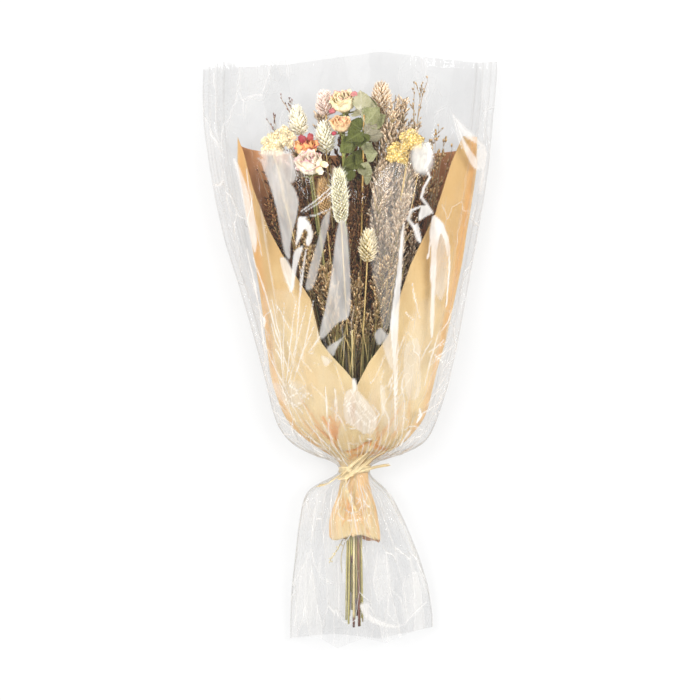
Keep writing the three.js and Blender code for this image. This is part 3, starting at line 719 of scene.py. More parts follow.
def pleat_relief(random, side, y, count, tallest):
    """Folds that gather towards the tie, each with its own height and length."""
    heights = random.uniform(0.35, 1.0, count + 2) * tallest
    lengths = random.uniform(22, 62, count + 2)
    wander = 0.35 * np.sin(3.1 * side + 0.02 * y) + 0.2 * np.sin(7.7 * side + 1.7)
    place = (side + 1) / 2 * count + wander
    index = np.clip(np.floor(place).astype(int), 0, count + 1)
    fold = 1 - np.abs(2 * (place - np.floor(place)) - 1)
    away = np.clip(np.abs(y - NECK[1]) - 5, 0, None)
    return heights[index] * fold * np.clip(away / 14, 0, 1) * np.exp(-away / lengths[index])


# ---------------------------------------------------------------- materials


def film_material():
    """Stretched polypropylene film: nearly clear and a little grey, with painted white highlights and
    reflections on its creases and patches, and sharp glints from the lights.
    """
    settings = bpy.context.scene.bouquet
    material, node, carried = new_material("polypropylene_film")
    wander = textured(node, "TexNoise", carried["object"], (45, 45, 45), {"Detail": 2.0})
    bend = node("VectorMath", {0: wander.outputs["Color"], 1: (0.007, 0.03, 0.0)}, operation="MULTIPLY")
    place = node("VectorMath", {0: carried["grain"], 1: bend}, operation="ADD")
    zones = textured(node, "TexNoise", carried["grain"], (26, 12, 0), {"Detail": 2.0})
    zone = node("MapRange", {0: zones, 1: 0.50, 2: 0.68, 3: 0.0, 4: 0.8})
    crumple = node("Math", {0: zone, 1: carried["reach"]}, operation="ADD", use_clamp=True)
    # Facets of about 19 x 83 mm and 7 x 12 mm: each passes a little more or less light as painted shade and
    # carries a painted sheen, and its edges carry painted white highlights.
    tint, crease_sheen = settings.film_tint, 0.0
    for facets, line, low, strength in (((52, 12, 0), 0.02, 0.96, 0.8), ((150, 80, 0), 0.035, 0.98, 0.3)):
        cells = textured(node, "TexVoronoi", place, facets, voronoi_dimensions="2D")
        shade = node("MapRange", {0: cells.outputs["Color"], 3: low, 4: 1.0})
        tint = node("VectorMath", {0: tint, 1: shade}, operation="MULTIPLY")
        edges = textured(node, "TexVoronoi", place, facets, voronoi_dimensions="2D",
                         feature="DISTANCE_TO_EDGE")
        crease = node("MapRange", {0: edges, 1: 0.0, 2: line, 3: strength, 4: 0.0})
        facet_sheen = node("MapRange", {0: cells.outputs["Color"], 1: 0.45, 2: 1.0, 3: 0.0, 4: 0.24 * strength})
        crease = node("Math", {0: crease, 1: facet_sheen}, operation="MAXIMUM")
        crease = node("Math", {0: crease, 1: crumple}, operation="MULTIPLY")
        crease_sheen = node("Math", {0: crease, 1: crease_sheen}, operation="MAXIMUM")
    doubled = node("MapRange", {0: carried["tone"], 3: 1.0, 4: 0.78})
    tint = node("VectorMath", {0: tint, 1: doubled}, operation="MULTIPLY")
    clear = node("BsdfTransparent", {0: tint})
    glossy = node("BsdfGlossy", {"Color": (1, 1, 1), "Roughness": 0.1})
    edge = node("LayerWeight", {"Blend": settings.film_gloss})
    shine = node("MapRange", {0: edge.outputs["Fresnel"], 3: 0.02, 4: 0.55})
    film = node("MixShader", {0: shine, 1: clear, 2: glossy})
    # The white of the painted reflections and highlights, laid over the clear film.
    sheen_diffuse = node("BsdfDiffuse", {"Color": srgb("#DAD8D5")})
    through = node("BsdfTranslucent", {"Color": srgb("#E6E4E1")})
    white = node("MixShader", {0: 0.3, 1: sheen_diffuse, 2: through})
    cloud = textured(node, "TexNoise", carried["grain"], (110, 26, 0), {"Detail": 3.0})
    uneven = node("MapRange", {0: cloud, 1: 0.3, 2: 0.7, 3: 0.72, 4: 1.25})
    painted_shine = node("Math", {0: carried["extra"], 1: uneven}, operation="MULTIPLY")
    amount = node("Math", {0: painted_shine, 1: crease_sheen}, operation="ADD", use_clamp=True)
    whole = node("MixShader", {0: amount, 1: film, 2: white})
    node("OutputMaterial", {0: whole})
    return material


def kraft_material(name, base, dark, fold):
    """Kraft paper, machine finished: matt, with short fibres and faint cloudiness; the darker fold colour is
    painted shade in its folds, dents and sides.
    """
    material, node, carried = new_material(name)
    clouds = textured(node, "TexNoise", carried["object"], (42, 22, 42), {"Detail": 3.0})
    fibres = textured(node, "TexNoise", carried["object"], (1500, 420, 1500),
                      {"Detail": 3.0, "Roughness": 0.7})
    cloud = node("MapRange", {0: clouds, 1: 0.35, 2: 0.65})
    deep = node("Math", {0: cloud, 1: 0.35, 2: carried["tone"]}, operation="MULTIPLY_ADD", use_clamp=True)
    tint = node("Mix", {0: deep, 6: base, 7: dark}, data_type="RGBA")
    speck = node("MapRange", {0: fibres, 1: 0.3, 2: 0.7, 3: 0.93, 4: 1.06})
    colour = node("VectorMath", {0: tint, 1: speck}, operation="MULTIPLY")
    # Painted shade: the fold colour laid into creases, dents and the wrap's turned-away sides.
    shaded = node("Mix", {0: carried["extra"], 6: colour, 7: fold}, data_type="RGBA")
    bump = node("Bump", {"Strength": 0.35, "Distance": 0.08 * MM, "Height": fibres})
    sockets = {"Base Color": shaded, "Roughness": 0.82, "Specular IOR Level": 0.25, "Normal": bump}
    shader = node("BsdfPrincipled", sockets)
    node("OutputMaterial", {0: shader})
    return material


def leaf_material(name, face, vein, patch_shade):
    """Dried rose leaf: matt grey-green, with a pale midrib and side veins."""
    material, node, carried = new_material(name)
    rib = node("MapRange", {0: carried["across"], 1: 0.0, 2: 0.0009, 3: 1.0, 4: 0.0})
    slanted = node("Math", {0: carried["across"], 1: 0.9}, operation="MULTIPLY")
    slanted = node("Math", {0: carried["along"], 1: slanted}, operation="SUBTRACT")
    waves = node("Math", {0: slanted, 1: 2100.0}, operation="MULTIPLY")
    waves = node("Math", {0: waves}, operation="SINE")
    side_veins = node("MapRange", {0: waves, 1: 0.82, 2: 1.0})
    veins = node("Math", {0: rib, 1: side_veins}, operation="MAXIMUM")
    soft = node("Math", {0: veins, 1: 0.55}, operation="MULTIPLY")
    mottled = textured(node, "TexNoise", carried["object"], (190, 190, 190),
                       {"Detail": 4.0, "Roughness": 0.6})
    mottle = node("MapRange", {0: mottled, 1: 0.35, 2: 0.65})
    ground = node("Mix", {0: mottle, 6: face, 7: patch_shade}, data_type="RGBA")
    colour = node("Mix", {0: soft, 6: ground, 7: vein}, data_type="RGBA")
    bump = node("Bump", {"Strength": 0.7, "Distance": 0.25 * MM, "Height": veins})
    sockets = {"Base Color": colour, "Roughness": 0.78, "Normal": bump, "Specular IOR Level": 0.3}
    body = node("BsdfPrincipled", sockets)
    thin = node("BsdfTranslucent", {"Color": colour})
    shader = node("MixShader", {0: 0.12, 1: body, 2: thin})
    node("OutputMaterial", {0: shader})
    return material


# ---------------------------------------------------------------- the sleeve and the paper

MOUTH = 286.0
HEM = -288.0
MOUTH_HALF_WIDTH = 148
# The open ends of the films, as x and y points from the left seam to the right one.
MOUTH_FRONT = [(-148, 282), (-129, 289), (-71, 288), (33, 301.5), (127, 288), (148, 290)]
MOUTH_BACK = [(-148, 281), (-127, 287.5), (-66, 287.5), (30, 301), (128, 289), (148, 290)]
HEM_FRONT = [(-148, -290), (-90, -288), (-50, -299.5), (5, -289), (50, -294), (100, -284), (148, -278)]
HEM_BACK = [(-148, -290), (-60, -286), (40, -291), (148, -279)]


def bump_at(side, centre, width):
    """A bell-shaped rise to 1 round a place."""
    return np.exp(-(((side - centre) / width) ** 2))


def film_rows(step):
    """Heights of the rows: close together at the tie, further apart elsewhere."""
    rows = [HEM]
    while rows[-1] < MOUTH:
        away = abs(rows[-1] - NECK[1])
        rows.append(rows[-1] + step * np.interp(away, [8, 60], [0.55, 1.0]))
    return np.array(rows) * (MOUTH - HEM) / (rows[-1] - HEM) + HEM * (1 - (MOUTH - HEM) / (rows[-1] - HEM))


def sheet_piece(name, points, grain, look, outward_z):
    """A sheet made from a grid primitive whose points are laid where the grid of points says."""
    rows, columns = points.shape[:2]
    bpy.ops.object.select_all(action="DESELECT")
    bpy.ops.mesh.primitive_grid_add(x_subdivisions=columns - 1, y_subdivisions=rows - 1, size=1)
    obj = bpy.context.object
    obj.name = obj.data.name = name
    mesh = obj.data
    flat = np.empty(len(mesh.vertices) * 3)
    mesh.vertices.foreach_get("co", flat)
    flat = flat.reshape(-1, 3)
    column = np.rint((flat[:, 0] + 0.5) * (columns - 1)).astype(int)
    row = np.rint((flat[:, 1] + 0.5) * (rows - 1)).astype(int)
    mesh.vertices.foreach_set("co", (points[row, column] * MM).ravel())
    write_layers(mesh, grain[row, column], look[row, column])
    mesh.polygons.foreach_set("use_smooth", np.full(len(mesh.polygons), True))
    mesh.update()
    if mesh.polygons[len(mesh.polygons) // 2].normal.z * outward_z < 0:
        mesh.flip_normals()
    return obj


def film_relief(random, x, y, side, near_edge, back):
    """How far the creases, the gathers and the waves of a film lift it off its smooth surface."""
    crease_height = bpy.context.scene.bouquet.crinkle_depth / MM
    relief = pleat_relief(random, side, y, 27, 4.4 * crease_height)
    for count, span, share in ((260, (-275, 292), 0.75), (70, (-275, -140), 1.5)):
        relief += crease_relief(x, y, random_creases(random, count, span, share * crease_height))
    folds = random_creases(random, 30, (-60, 240), crease_height)
    long_folds = [(cx, cy, angle, random.uniform(90, 230), width, abs(height) + 0.4)
                  for cx, cy, angle, _, width, height in folds]
    relief += crease_relief(x, y, long_folds)
    relief += 0.7 * np.sin(near_edge * 0.9) * np.exp(-near_edge / 20) * np.clip(near_edge / 3, 0, 1)
    relief += 1.3 * np.sin(0.021 * y + 0.045 * x + 1.0) * np.sin(0.047 * x - 0.013 * y)
    relief *= np.clip(near_edge / 7, 0, 1)
    if back:
        return np.clip(np.abs(relief), 0, 0.5 + 2.2 * smoothstep(np.abs(x), 45, 110))
    return np.maximum(relief, -np.interp(y, [-120, -95, -30, 100], [0.1, 2.5, 5.0, 6.0]))


def film_look(random, x, y, relief, near_edge, back):
    """What each point of a film shows: how grey, how crumpled, and how much painted reflection and highlight
    it carries.
    """
    across = np.maximum(np.abs(np.gradient(x, axis=1)), 0.7)
    ridge = -np.gradient(np.gradient(relief, axis=1) / across, axis=1) / across
    # Painted highlight on the ridges of the creases, where they would catch the light.
    folded = 0.38 * smoothstep(ridge, 0.25, 0.8) * np.clip(near_edge / 4, 0, 1)
    clear = patch_cover(x, y, photo_mm(CLEAR_VIEW), 2.0)
    painted_shine = folded * 0.5
    if not back:
        # Painted glints and ridge highlights, kept faint where the film lies clear over the V.
        glint_highlight = np.maximum(folded, painted_glint_cover(random, x, y, 90)) * (1 - 0.75 * clear)
        painted_shine = np.maximum(painted_reflection_amount(x, y), glint_highlight)
    seams = bump_at(near_edge, 0.6, 0.7)
    seams += sum(bump_at(near_edge, place, 0.7) for place in (6.5, 15, 21)) * smoothstep(y, -70, 10)
    crumple = 0.65 * smoothstep(-y, -60, 100) * smoothstep(-near_edge, -60, -8)
    crumple = crumple + 0.8 * smoothstep(-y, 125, 150)
    corner = patch_cover(x, y, photo_mm(CRUMPLED_CORNER), 8.0)
    crumple += 0.45 * smoothstep(-near_edge, -26, -8) + 0.6 * corner
    crumple = np.clip(crumple, 0, 1) - 0.7 * clear
    grey = np.clip(0.5 * seams + (0.15 if back else 0.0), 0, 1)
    return np.stack([grey, crumple, np.clip(painted_shine + 0.12 * seams, 0, 1)], axis=-1)


def film_sheet(name, columns, step, seed, back):
    """One of the two films: gathered at the tie, creased all over, with a jagged mouth and hem."""
    random = np.random.default_rng(seed)
    turn = np.linspace(-1, 1, columns)
    side = 0.45 * turn + 0.55 * np.sin(turn * math.pi / 2)
    side, level = np.meshgrid(side, film_rows(step))
    ends = (MOUTH_BACK, HEM_BACK) if back else (MOUTH_FRONT, HEM_FRONT)
    mouth, hem = (np.interp(MOUTH_HALF_WIDTH * side, *np.array(line).T) for line in ends)
    y = level + (mouth - MOUTH) * smoothstep(level, 225, MOUTH) + (hem - HEM) * smoothstep(-level, 215, -HEM)
    points = lens(side, y, back=back)
    x = points[..., 0]
    normals = grid_normals(points, -1 if back else 1)
    near_edge = np.minimum(x - np.interp(y, FILM_Y, FILM["left"]), np.interp(y, FILM_Y, FILM["right"]) - x)
    relief = film_relief(random, x, y, side, near_edge, back)
    if back:
        points = points - normals * relief[..., None]
    else:
        clearance = np.interp(np.abs(y - NECK[1]), [6, 14], [0.25, 0.5])
        points = points + normals * (relief + clearance)[..., None]
    points[..., 2] = np.maximum(points[..., 2], 0.05)
    look = film_look(random, x, y, relief, near_edge, back)
    grain = np.stack([110 * side, y, 0 * y], axis=-1)
    return sheet_piece(name, points, grain, look, -1 if back else 1)


def make_film():
    """The sleeve's two films, gathered by the tie and open at both ends."""
    material = film_material()
    for side, columns, step, seed, back in (("back", 130, 2.6, 11, True), ("front", 236, 1.6, 12, False)):
        obj = film_sheet(f"sleeve_{side}", columns, step, seed, back)
        obj.data.materials.append(material)
        settle(obj, (f"sleeve_{side}_film", f"skirt_{side}_film"))


WRAP_TOP = 214.0
WRAP_BACK_TOP = 196.0
WRAP_TIP = -35.0
WRAP_HEM = -188.0
PAPER_THICKNESS = 0.22
# Front edges of the two flaps: height and x, from their tips down to where they meet.
FLAP_LEFT = [(214, -113), (199, -107), (162, -97), (120, -81), (96, -68), (50, -39), (8, -29), (-7, -17),
             (-21, -4), (-35, 7), (-60, 24), (-85, 26), (-120, 16), (-150, 22), (-188, 28)]
FLAP_RIGHT = [(214, 113), (187, 101), (136, 85), (85, 60), (34, 43), (14, 38), (-12, 19), (-35, 7), (-60, 6),
              (-85, 5), (-120, 3), (-188, 2)]
# Creases in the paper: how much painted shade lies in them, depth and half width in mm, then points along the
# crease in the picture.
PAPER_FOLDS = [
    (0.95, 2.0, 2.2, [(321, 415), (328, 426), (337, 444)]),
    (0.8, 1.5, 1.6, [(329, 416), (333, 430), (340, 446)]),
    (0.8, 1.5, 1.6, [(314, 425), (326, 436), (342, 452)]),
    (0.7, 1.5, 1.4, [(341, 419), (337, 430), (335, 440)]),
    (0.95, 2.0, 2.6, [(345, 453), (356, 449), (366, 443), (372, 441)]),
    (0.95, 2.2, 3.2, [(368, 443), (378, 448), (389, 452)]),
    (0.7, 1.5, 2.0, [(362, 455), (372, 454), (384, 456)]),
    (0.8, 1.4, 1.5, [(348, 461), (353, 456), (362, 454)]),
    (0.5, 1.2, 1.4, [(386, 424), (380, 440), (372, 454)]),
    (0.45, 1.0, 1.5, [(300, 398), (318, 424), (338, 450)]),
    (0.45, 1.0, 1.5, [(404, 402), (390, 424), (376, 446)]),
    (0.35, 1.3, 1.8, [(352, 486), (347, 500), (349, 508), (358, 511)]),
    (0.4, 1.3, 1.6, [(341, 498), (347, 510), (341, 528)]),
    (0.35, 1.2, 1.5, [(362, 488), (367, 504), (360, 518), (368, 532)]),
    (0.35, 1.2, 1.5, [(334, 514), (345, 520), (357, 516), (370, 523)]),
]
# A smooth panel of paper, folded over above the tie.
PAPER_PANEL = [(340, 423), (352, 426), (364, 432), (374, 440), (364, 443), (355, 449), (344, 452), (336, 446)]


def wrap_sides():
    """Left and right edge of the paper along the bunch, read from its sections."""
    slices = Slices("kraft_wrap")
    heights = np.concatenate([np.arange(-187, -121, 4.0), np.arange(-119, 190, 4.0)])
    rows = [slices.at(y) for y in heights]
    left = soften(np.array([row[:, 0].min() for row in rows]), 2)
    right = soften(np.array([row[:, 0].max() for row in rows]), 2)
    return heights, left, right + 4.0 * smoothstep(heights, 10, 110)


def wrap_surface(columns, rows):
    """The paper before it is creased: share across the sheet, angle round the bunch, and points."""
    heights, left_edge, right_edge = wrap_sides()
    u, level = np.meshgrid(np.linspace(0, 1, columns), np.linspace(WRAP_HEM, WRAP_TOP, rows))
    left, right = np.interp(level, heights, left_edge), np.interp(level, heights, right_edge)
    middle, half = (left + right) / 2, (right - left) / 2
    flap_right, flap_left = (np.interp(level, *np.array(flap[::-1]).T) for flap in (FLAP_RIGHT, FLAP_LEFT))
    start = np.arcsin(np.clip((flap_right - middle) / half, -1, 1))
    finish = 2 * math.pi + np.arcsin(np.clip((flap_left - middle) / half, -1, 1))
    angle = start + u * (finish - start)
    sideways, facing = np.sin(angle), np.cos(angle)
    backness = np.sqrt(np.clip(-facing, 0, None))
    y = level - (WRAP_TOP - WRAP_BACK_TOP) * backness * smoothstep(level, 60, WRAP_TOP)
    y = y + 3.0 * np.sin(3.1 * angle + 0.6) * smoothstep(-level, 160, -WRAP_HEM)
    lap = smoothstep(-facing, 0.0, 0.4) * smoothstep(sideways, 0.1, 0.6)
    y = y - 7.0 * lap * smoothstep(-level, 165, -WRAP_HEM)
    left, right = np.interp(y, heights, left_edge), np.interp(y, heights, right_edge)
    inset = np.interp(y, [-188, -151, -126, -114, -95, -30, 100, 214], [10, 7, 0.85, 0.85, 4, 7, 9, 12])
    belly_inset = np.interp(y, [-188, -151, -126, -60], [1.6, 2.2, 0.85, 0.85])
    front = lens(sideways, y, inset_crown=inset, left=left, right=right)
    behind = lens(sideways, y, inset_crown=belly_inset, back=True, left=left, right=right)
    return u, angle, np.where((facing >= 0)[..., None], front, behind)


def face_outwards(obj):
    """Turns the wrap's faces outwards: down on its back, up on its front."""
    mesh = obj.data
    lowest = min(mesh.polygons, key=lambda polygon: polygon.center.z)
    if lowest.normal.z > 0:
        mesh.flip_normals()


def make_paper():
    """Kraft paper rolled round the bunch: a back, and two flaps that leave a V open in front."""
    random = np.random.default_rng(21)
    u, angle, points = wrap_surface(200, 230)
    x, y = points[..., 0], points[..., 1]
    outward = grid_normals(points, -1)
    in_front = smoothstep(np.cos(angle), -0.1, 0.3)
    away = np.abs(y - NECK[1])
    creases = random_creases(random, 110, (-185, -40), 1.3) + random_creases(random, 30, (-40, 200), 0.5)
    relief = crease_relief(x, y, creases)
    gathers = pleat_relief(random, (u - 0.5) * 2, y, 26, 5.5)
    depth = np.clip(relief - gathers * in_front, np.interp(away, [8, 24, 70], [0.0, -1.0, -6.0]),
                    np.interp(away, [0, 20, 60, 150], [0.0, 0.6, 2.0, 3.0]))
    depth *= in_front
    depth -= 0.7 * smoothstep(u, 0.86, 0.97) * (1 - smoothstep(y, WRAP_TIP - 6, WRAP_TIP + 30))
    folds = np.zeros(x.shape)
    for strength, fold_depth, width, line in PAPER_FOLDS:
        cover = streak_cover(x, y, photo_mm(line), width) * (np.cos(angle) > 0)
        folds = np.maximum(folds, strength * cover)
        depth -= 0.6 * fold_depth * cover
    panel = patch_cover(x, y, photo_mm(PAPER_PANEL), 0.8) * (np.cos(angle) > 0)
    depth = depth * (1 - panel) + 0.7 * panel
    points = points + outward * depth[..., None]
    points[..., 2] = np.maximum(points[..., 2], 0.9)
    # Painted shade: dents near the tie, deep creases, the listed folds and the sides where the wrap turns
    # away take the darker fold colour.
    dent_shade = smoothstep(-depth, 0.8, 3.0) * smoothstep(-away, -95, -20)
    shaded = np.clip(np.maximum(0.6 * dent_shade + 0.3 * smoothstep(np.abs(relief), 0.9, 2.2), folds), 0, 1)
    shaded = np.maximum(shaded, 0.45 * smoothstep(np.abs(np.sin(angle)), 0.88, 0.98)) * in_front * (1 - panel)
    look = np.stack([0.85 * smoothstep(y, 0, 120) * in_front, 0 * shaded, shaded], axis=-1)
    obj = sheet_piece("kraft_wrap_sheet", points, np.stack([x, y, 0 * y], axis=-1), look, 1)
    settings = bpy.context.scene.bouquet
    # The inside faces take a redder copy of the paper: painted reddish shade inside the wrap.
    for face, base, cloud in (("outside", settings.kraft_outside, settings.kraft_cloud),
                              ("inside", settings.kraft_inside_shade, settings.kraft_inside_cloud)):
        obj.data.materials.append(kraft_material(f"kraft_paper_{face}", base, cloud, settings.kraft_fold_shade))
    face_outwards(obj)
    thicken(obj, PAPER_THICKNESS, offset=-1.0, material_offset=1, material_offset_rim=0)
    settle(obj, ("kraft_wrap",))


# ---------------------------------------------------------------- raffia


def film_top(x, y):
    """Height of the front film's smooth surface at a point seen from above."""
    left, right = np.interp(y, FILM_Y, FILM["left"]), np.interp(y, FILM_Y, FILM["right"])
    side = np.clip((x - (left + right) / 2) / ((right - left) / 2), -0.999, 0.999)
    return lens(side, np.asarray(y, float))[..., 2]


# The loose ends, as x and y points from the knot.
RAFFIA_TAILS = [
    [(-6, -123), (-14, -128), (-23, -134), (-32, -136)],
    [(3, -118.5), (9, -111), (20, -99), (26, -86)],
    [(3.4, -122.2), (13, -116), (28, -105), (45, -98)],
    [(-2, -124), (-4, -134), (0, -150), (7, -162)],
]
# Strands across the front of the tie, as x and y points, with how high they lie over the film.
CROSSING = [
    ([(-8, -129), (-3, -124), (6, -117), (15, -107), (20, -102)], 2.4),
    ([(-6, -131), (0, -125), (9, -119), (18, -112), (22, -108)], 3.1),
    ([(-9, -126), (-4, -121), (2, -115), (8, -110), (13, -105)], 3.6),
    ([(-5, -128), (4, -123), (16, -120), (28, -117), (40, -115)], 2.0),
    ([(-13, -129), (-6, -128), (-1, -126), (4, -124)], 3.0),
]
# Turns round the neck: place along it, width of the strand and how far it lies off the film.
TURNS = [(-2.2, 1.7, 0.0), (-0.6, 1.9, 0.5), (1.0, 1.6, 0.1), (2.6, 1.4, 0.6)]
NECK_HALF_WIDTH, NECK_HALF_HEIGHT = 14.4, 12.4
STRAND_OFFSET = 0.9
TURN_ANGLE = math.pi * 1.06  # each way from the top, so that the ends of a turn lap under the neck
# Section of a split strand, folded along its middle: shares of its half width, and of its half thickness.
STRAND_ACROSS = np.array([-1, -0.55, 0, 0.55, 1, 0.55, 0, -0.55])
STRAND_UP = np.array([0, 1, 0.35, 1, 0, -1, -0.6, -1])


def ribbon(growth, path, width, thickness, tone, twist):
    """A flat strand of raffia, folded along its length, with split edges."""
    side, top = path_frames(path, UP)
    turn = twist * np.linspace(0, 1, len(path))[:, None]
    sideways = side * np.cos(turn) + top * np.sin(turn)
    upwards = top * np.cos(turn) - side * np.sin(turn)
    steps = lengths_along(path)
    ends = np.sqrt(np.clip(np.minimum(steps, steps[-1] - steps) / 3.0, 0.15, 1))
    wobble = 1 + 0.12 * growth.random.normal(0, 1, len(path))
    half = (width / 2 * ends * wobble)[:, None, None]
    points = path[:, None] + sideways[:, None] * STRAND_ACROSS[None, :, None] * half
    points = points + upwards[:, None] * STRAND_UP[None, :, None] * thickness / 2
    shape = rings_shape(points, STRAND_ACROSS[None] * width / 2, steps)
    shape["faces"] = [face[::-1] for face in shape["faces"]]
    growth.add(shape, tone=tone)


def lying_path(points, lift, count=26):
    """A path over the front film: lifted where it crosses the tie."""
    plan = smooth_path([(x, y, 0) for x, y in points], count)
    rise = np.interp(np.abs(plan[:, 1] - NECK[1]), [4, 11], [1.0, 0.0])
    plan[:, 2] = film_top(plan[:, 0], plan[:, 1]) + 1.4 + (lift - 1.0) * rise
    plan[:, 2] = soften(plan[:, 2], 3)
    return plan


def wrap_strand(growth, offset, width, lift, tone):
    """A flat strand round the neck, its broad side against the film."""
    ring_width, ring_height = NECK_HALF_WIDTH + STRAND_OFFSET, NECK_HALF_HEIGHT + STRAND_OFFSET
    angle = np.linspace(-TURN_ANGLE, TURN_ANGLE, 54)
    path = np.column_stack([
        NECK[0] + (ring_width + lift) * np.sin(angle),
        NECK[1] + offset + 1.6 * angle / math.pi,
        NECK[2] + (ring_height + lift) * np.cos(angle),
    ])
    outward = unit((path - np.array([NECK[0], 0, NECK[2]])) * [1, 0, 1])
    growth.add(tube(path, width / 2, sides=8, flat=0.36, up=outward), tone=tone)


def make_raffia():
    """Raffia palm fibre, split and dried: pale straw strands with lengthwise ribs."""
    material = plant_material("raffia_fibre", (0.0, 0.5, 1.0), ("#CBB58A", "#D4C29C", "#C6AE80"), spread=0.3,
                              roughness=0.55, fibre=(2600, 60, 0), fibre_strength=0.3, bump_mm=0.3)
    growth = Growth(31)
    for number, (offset, width, lift) in enumerate(TURNS):
        wrap_strand(growth, offset, width, lift, 0.2 + 0.2 * number)
    growth.piece("raffia_turns", [material], ("raffia_wrap",))
    growth = Growth(32)
    for points, lift in CROSSING:
        for split in (-1.1, 0.0, 1.0):
            path = lying_path([(x + split * 0.8, y - split * 0.8) for x, y in points], lift + 0.3 * split)
            ribbon(growth, path, 1.0, 0.45, growth.random.uniform(0.2, 0.9), twist=0.6 * split)
    lump = ball(12, 8)
    knot_top = NECK[2] + NECK_HALF_HEIGHT + STRAND_OFFSET + 1.2
    growth.add(reshaped(lump, lump["points"] * [3.0, 3.2, 1.7]),
               frame_along((-1, NECK[1], knot_top), (0.7, 0.7, 0)), tone=0.4)
    growth.piece("raffia_tie_knot", [material], ("raffia_knot",))
    for number, points in enumerate(RAFFIA_TAILS, 1):
        growth = Growth(40 + number)
        for split in (-1.0, 0.0, 0.9):
            bent = [(x + split * 0.5 * i, y + 0.35 * split * i) for i, (x, y) in enumerate(points)]
            ribbon(growth, lying_path(bent, 1.8 + 0.3 * split), 1.3 + 0.3 * growth.random.random(), 0.5,
                   growth.random.uniform(0.2, 0.9), twist=1.2 * split)
        growth.piece(f"raffia_end_{number}", [material], (f"raffia_tail_{number}",))


# ---------------------------------------------------------------- the bunch: its heads, in millimetres

# Finishes as a piece's mesh numbers them: its heads, its stems, then a plume's blades and other grains.
HEAD, STEM, BLADE, DUSTY, DARK = range(5)
# Roses: centre, radius, colours from base to rim, how the head leans, how far its petals close, share
# of them without dark rims, and its loose outer petals. Of each of those: where it starts, its length,
# the way it points and how far its colour is towards the rim's.
ROSES = [
    ((-7, 248, 46), 11.5, ("#FFF4C8", "#FFF2CA", "#FFF2CA", "#FBD0B4", "#B02A5A"), (-0.25, 0, 0.6),
        0.34, 0.8, [((-13, 240, 44), 9, (-1, -0.35, 0.1), 0.985), ((0, 254, 50), 8, (1, 0.2, 0.1), 0.98)]),
    ((-8, 225, 57), 9.0, ("#FCE2AE", "#FBD6A8", "#FBD6A8", "#F8B48C", "#B8285A"), (0.15, 0, 0.55), 0.38,
        0.75, [((-13, 217, 54), 6, (-1, -0.5, 0.1), 0.99)]),
    ((-44, 203, 51), 10.0, ("#FAD888", "#FCC888", "#FCC888", "#F09A6C", "#A01C48"), (0.1, 0, 0.75),
        0.42, 0.35, [((-43, 206, 52), 12, (-0.8, 0.7, 0.2), 0.99),
        ((-40, 207, 52), 10, (0.1, 1, 0.2), 0.985)]),
    ((-39, 186, 68), 12.0, ("#FFE68C", "#FFF2DC", "#FFF2DC", "#FBD4D2", "#F08CAC"), (-0.1, 0, 0.7), 0.3,
        0.7, [((-44, 190, 62), 13, (-1, -0.25, 0.1), 0.92), ((-46, 186, 60), 11, (-0.8, -0.7, 0.1), 0.94),
        ((-34, 182, 74), 12, (0.7, -0.8, 0.2), 0.1), ((-30, 185, 72), 10, (1, -0.3, 0.2), 0.0)]),
]
# Rings of petals from the heart outwards: count, cup, height, width, curl.
PETAL_RINGS = [(3, 0.30, 1.72, 1.6, 0.0), (4, 0.50, 1.80, 1.3, 0.04), (5, 0.72, 1.86, 1.1, 0.10),
               (5, 0.90, 1.84, 0.95, 0.2), (5, 1.0, 1.66, 0.85, 0.34)]
# Leaves: height at which they leave the stem, colours of blade, veins and patches, then tips and widths.
LEAVES = [
    (235, ("#BDB796", "#CFCAAE", "#A5A27C"), [((10, 259, 50), 14), ((20, 252, 48), 14),
        ((6, 240, 44), 13)]),
    (222, ("#A6A57A", "#BEBC94", "#8C8F60"), [((29, 242, 56), 15), ((36, 234, 52), 13),
        ((22, 252, 42), 12)]),
    (214, ("#A8A188", "#C0B8A2", "#948D76"), [((27, 226, 58), 11), ((34, 214, 50), 11)]),
    (218, ("#6A7038", "#8A9054", "#545A2C"), [((-4, 207, 66), 14), ((0, 228, 56), 14),
        ((10, 200, 62), 15), ((-9, 196, 67), 13)]),
    (196, ("#ABAA84", "#C4C2A0", "#92946C"), [((21, 206, 60), 11), ((28, 196, 54), 12)]),
    (190, ("#626632", "#82864C", "#4C5026"), [((-8, 181, 60), 12), ((6, 184, 58), 13),
        ((-10, 168, 62), 12), ((2, 198, 48), 12)]),
    (172, ("#AEAC86", "#C4C2A2", "#96966E"), [((18, 188, 56), 12), ((22, 172, 50), 11)]),
]
LEAF_STEM_TOP = 234.0
LEAF_THICKNESS, PETAL_THICKNESS = 0.22, 0.16
# Canary grass: centre, radius, half length, colours of a husk from its base to its tip.
CANARY = [
    ((-25, 213, 42), 8.5, 17.0, ("#ECE6BC", "#FCF8DE", "#FFFCEE", "#FFFFF8")),
    ((-52, 230, 34), 7.5, 15.5, ("#DAD2AC", "#F2EAD0", "#FAF5E2", "#FEFAEE")),
    ((-25, 248, 30), 7.5, 13.0, ("#E8C8B0", "#F6DED0", "#FBEAE0", "#FEF4EC")),
    ((31, 254, 38), 9.5, 15.0, ("#C49A6C", "#E4C8A4", "#F4E2CC", "#FBF0E0")),
    ((18, 104, 70), 7.5, 17.5, ("#CDBE84", "#E8D8A6", "#F6E8C6", "#FBF2DE")),
]
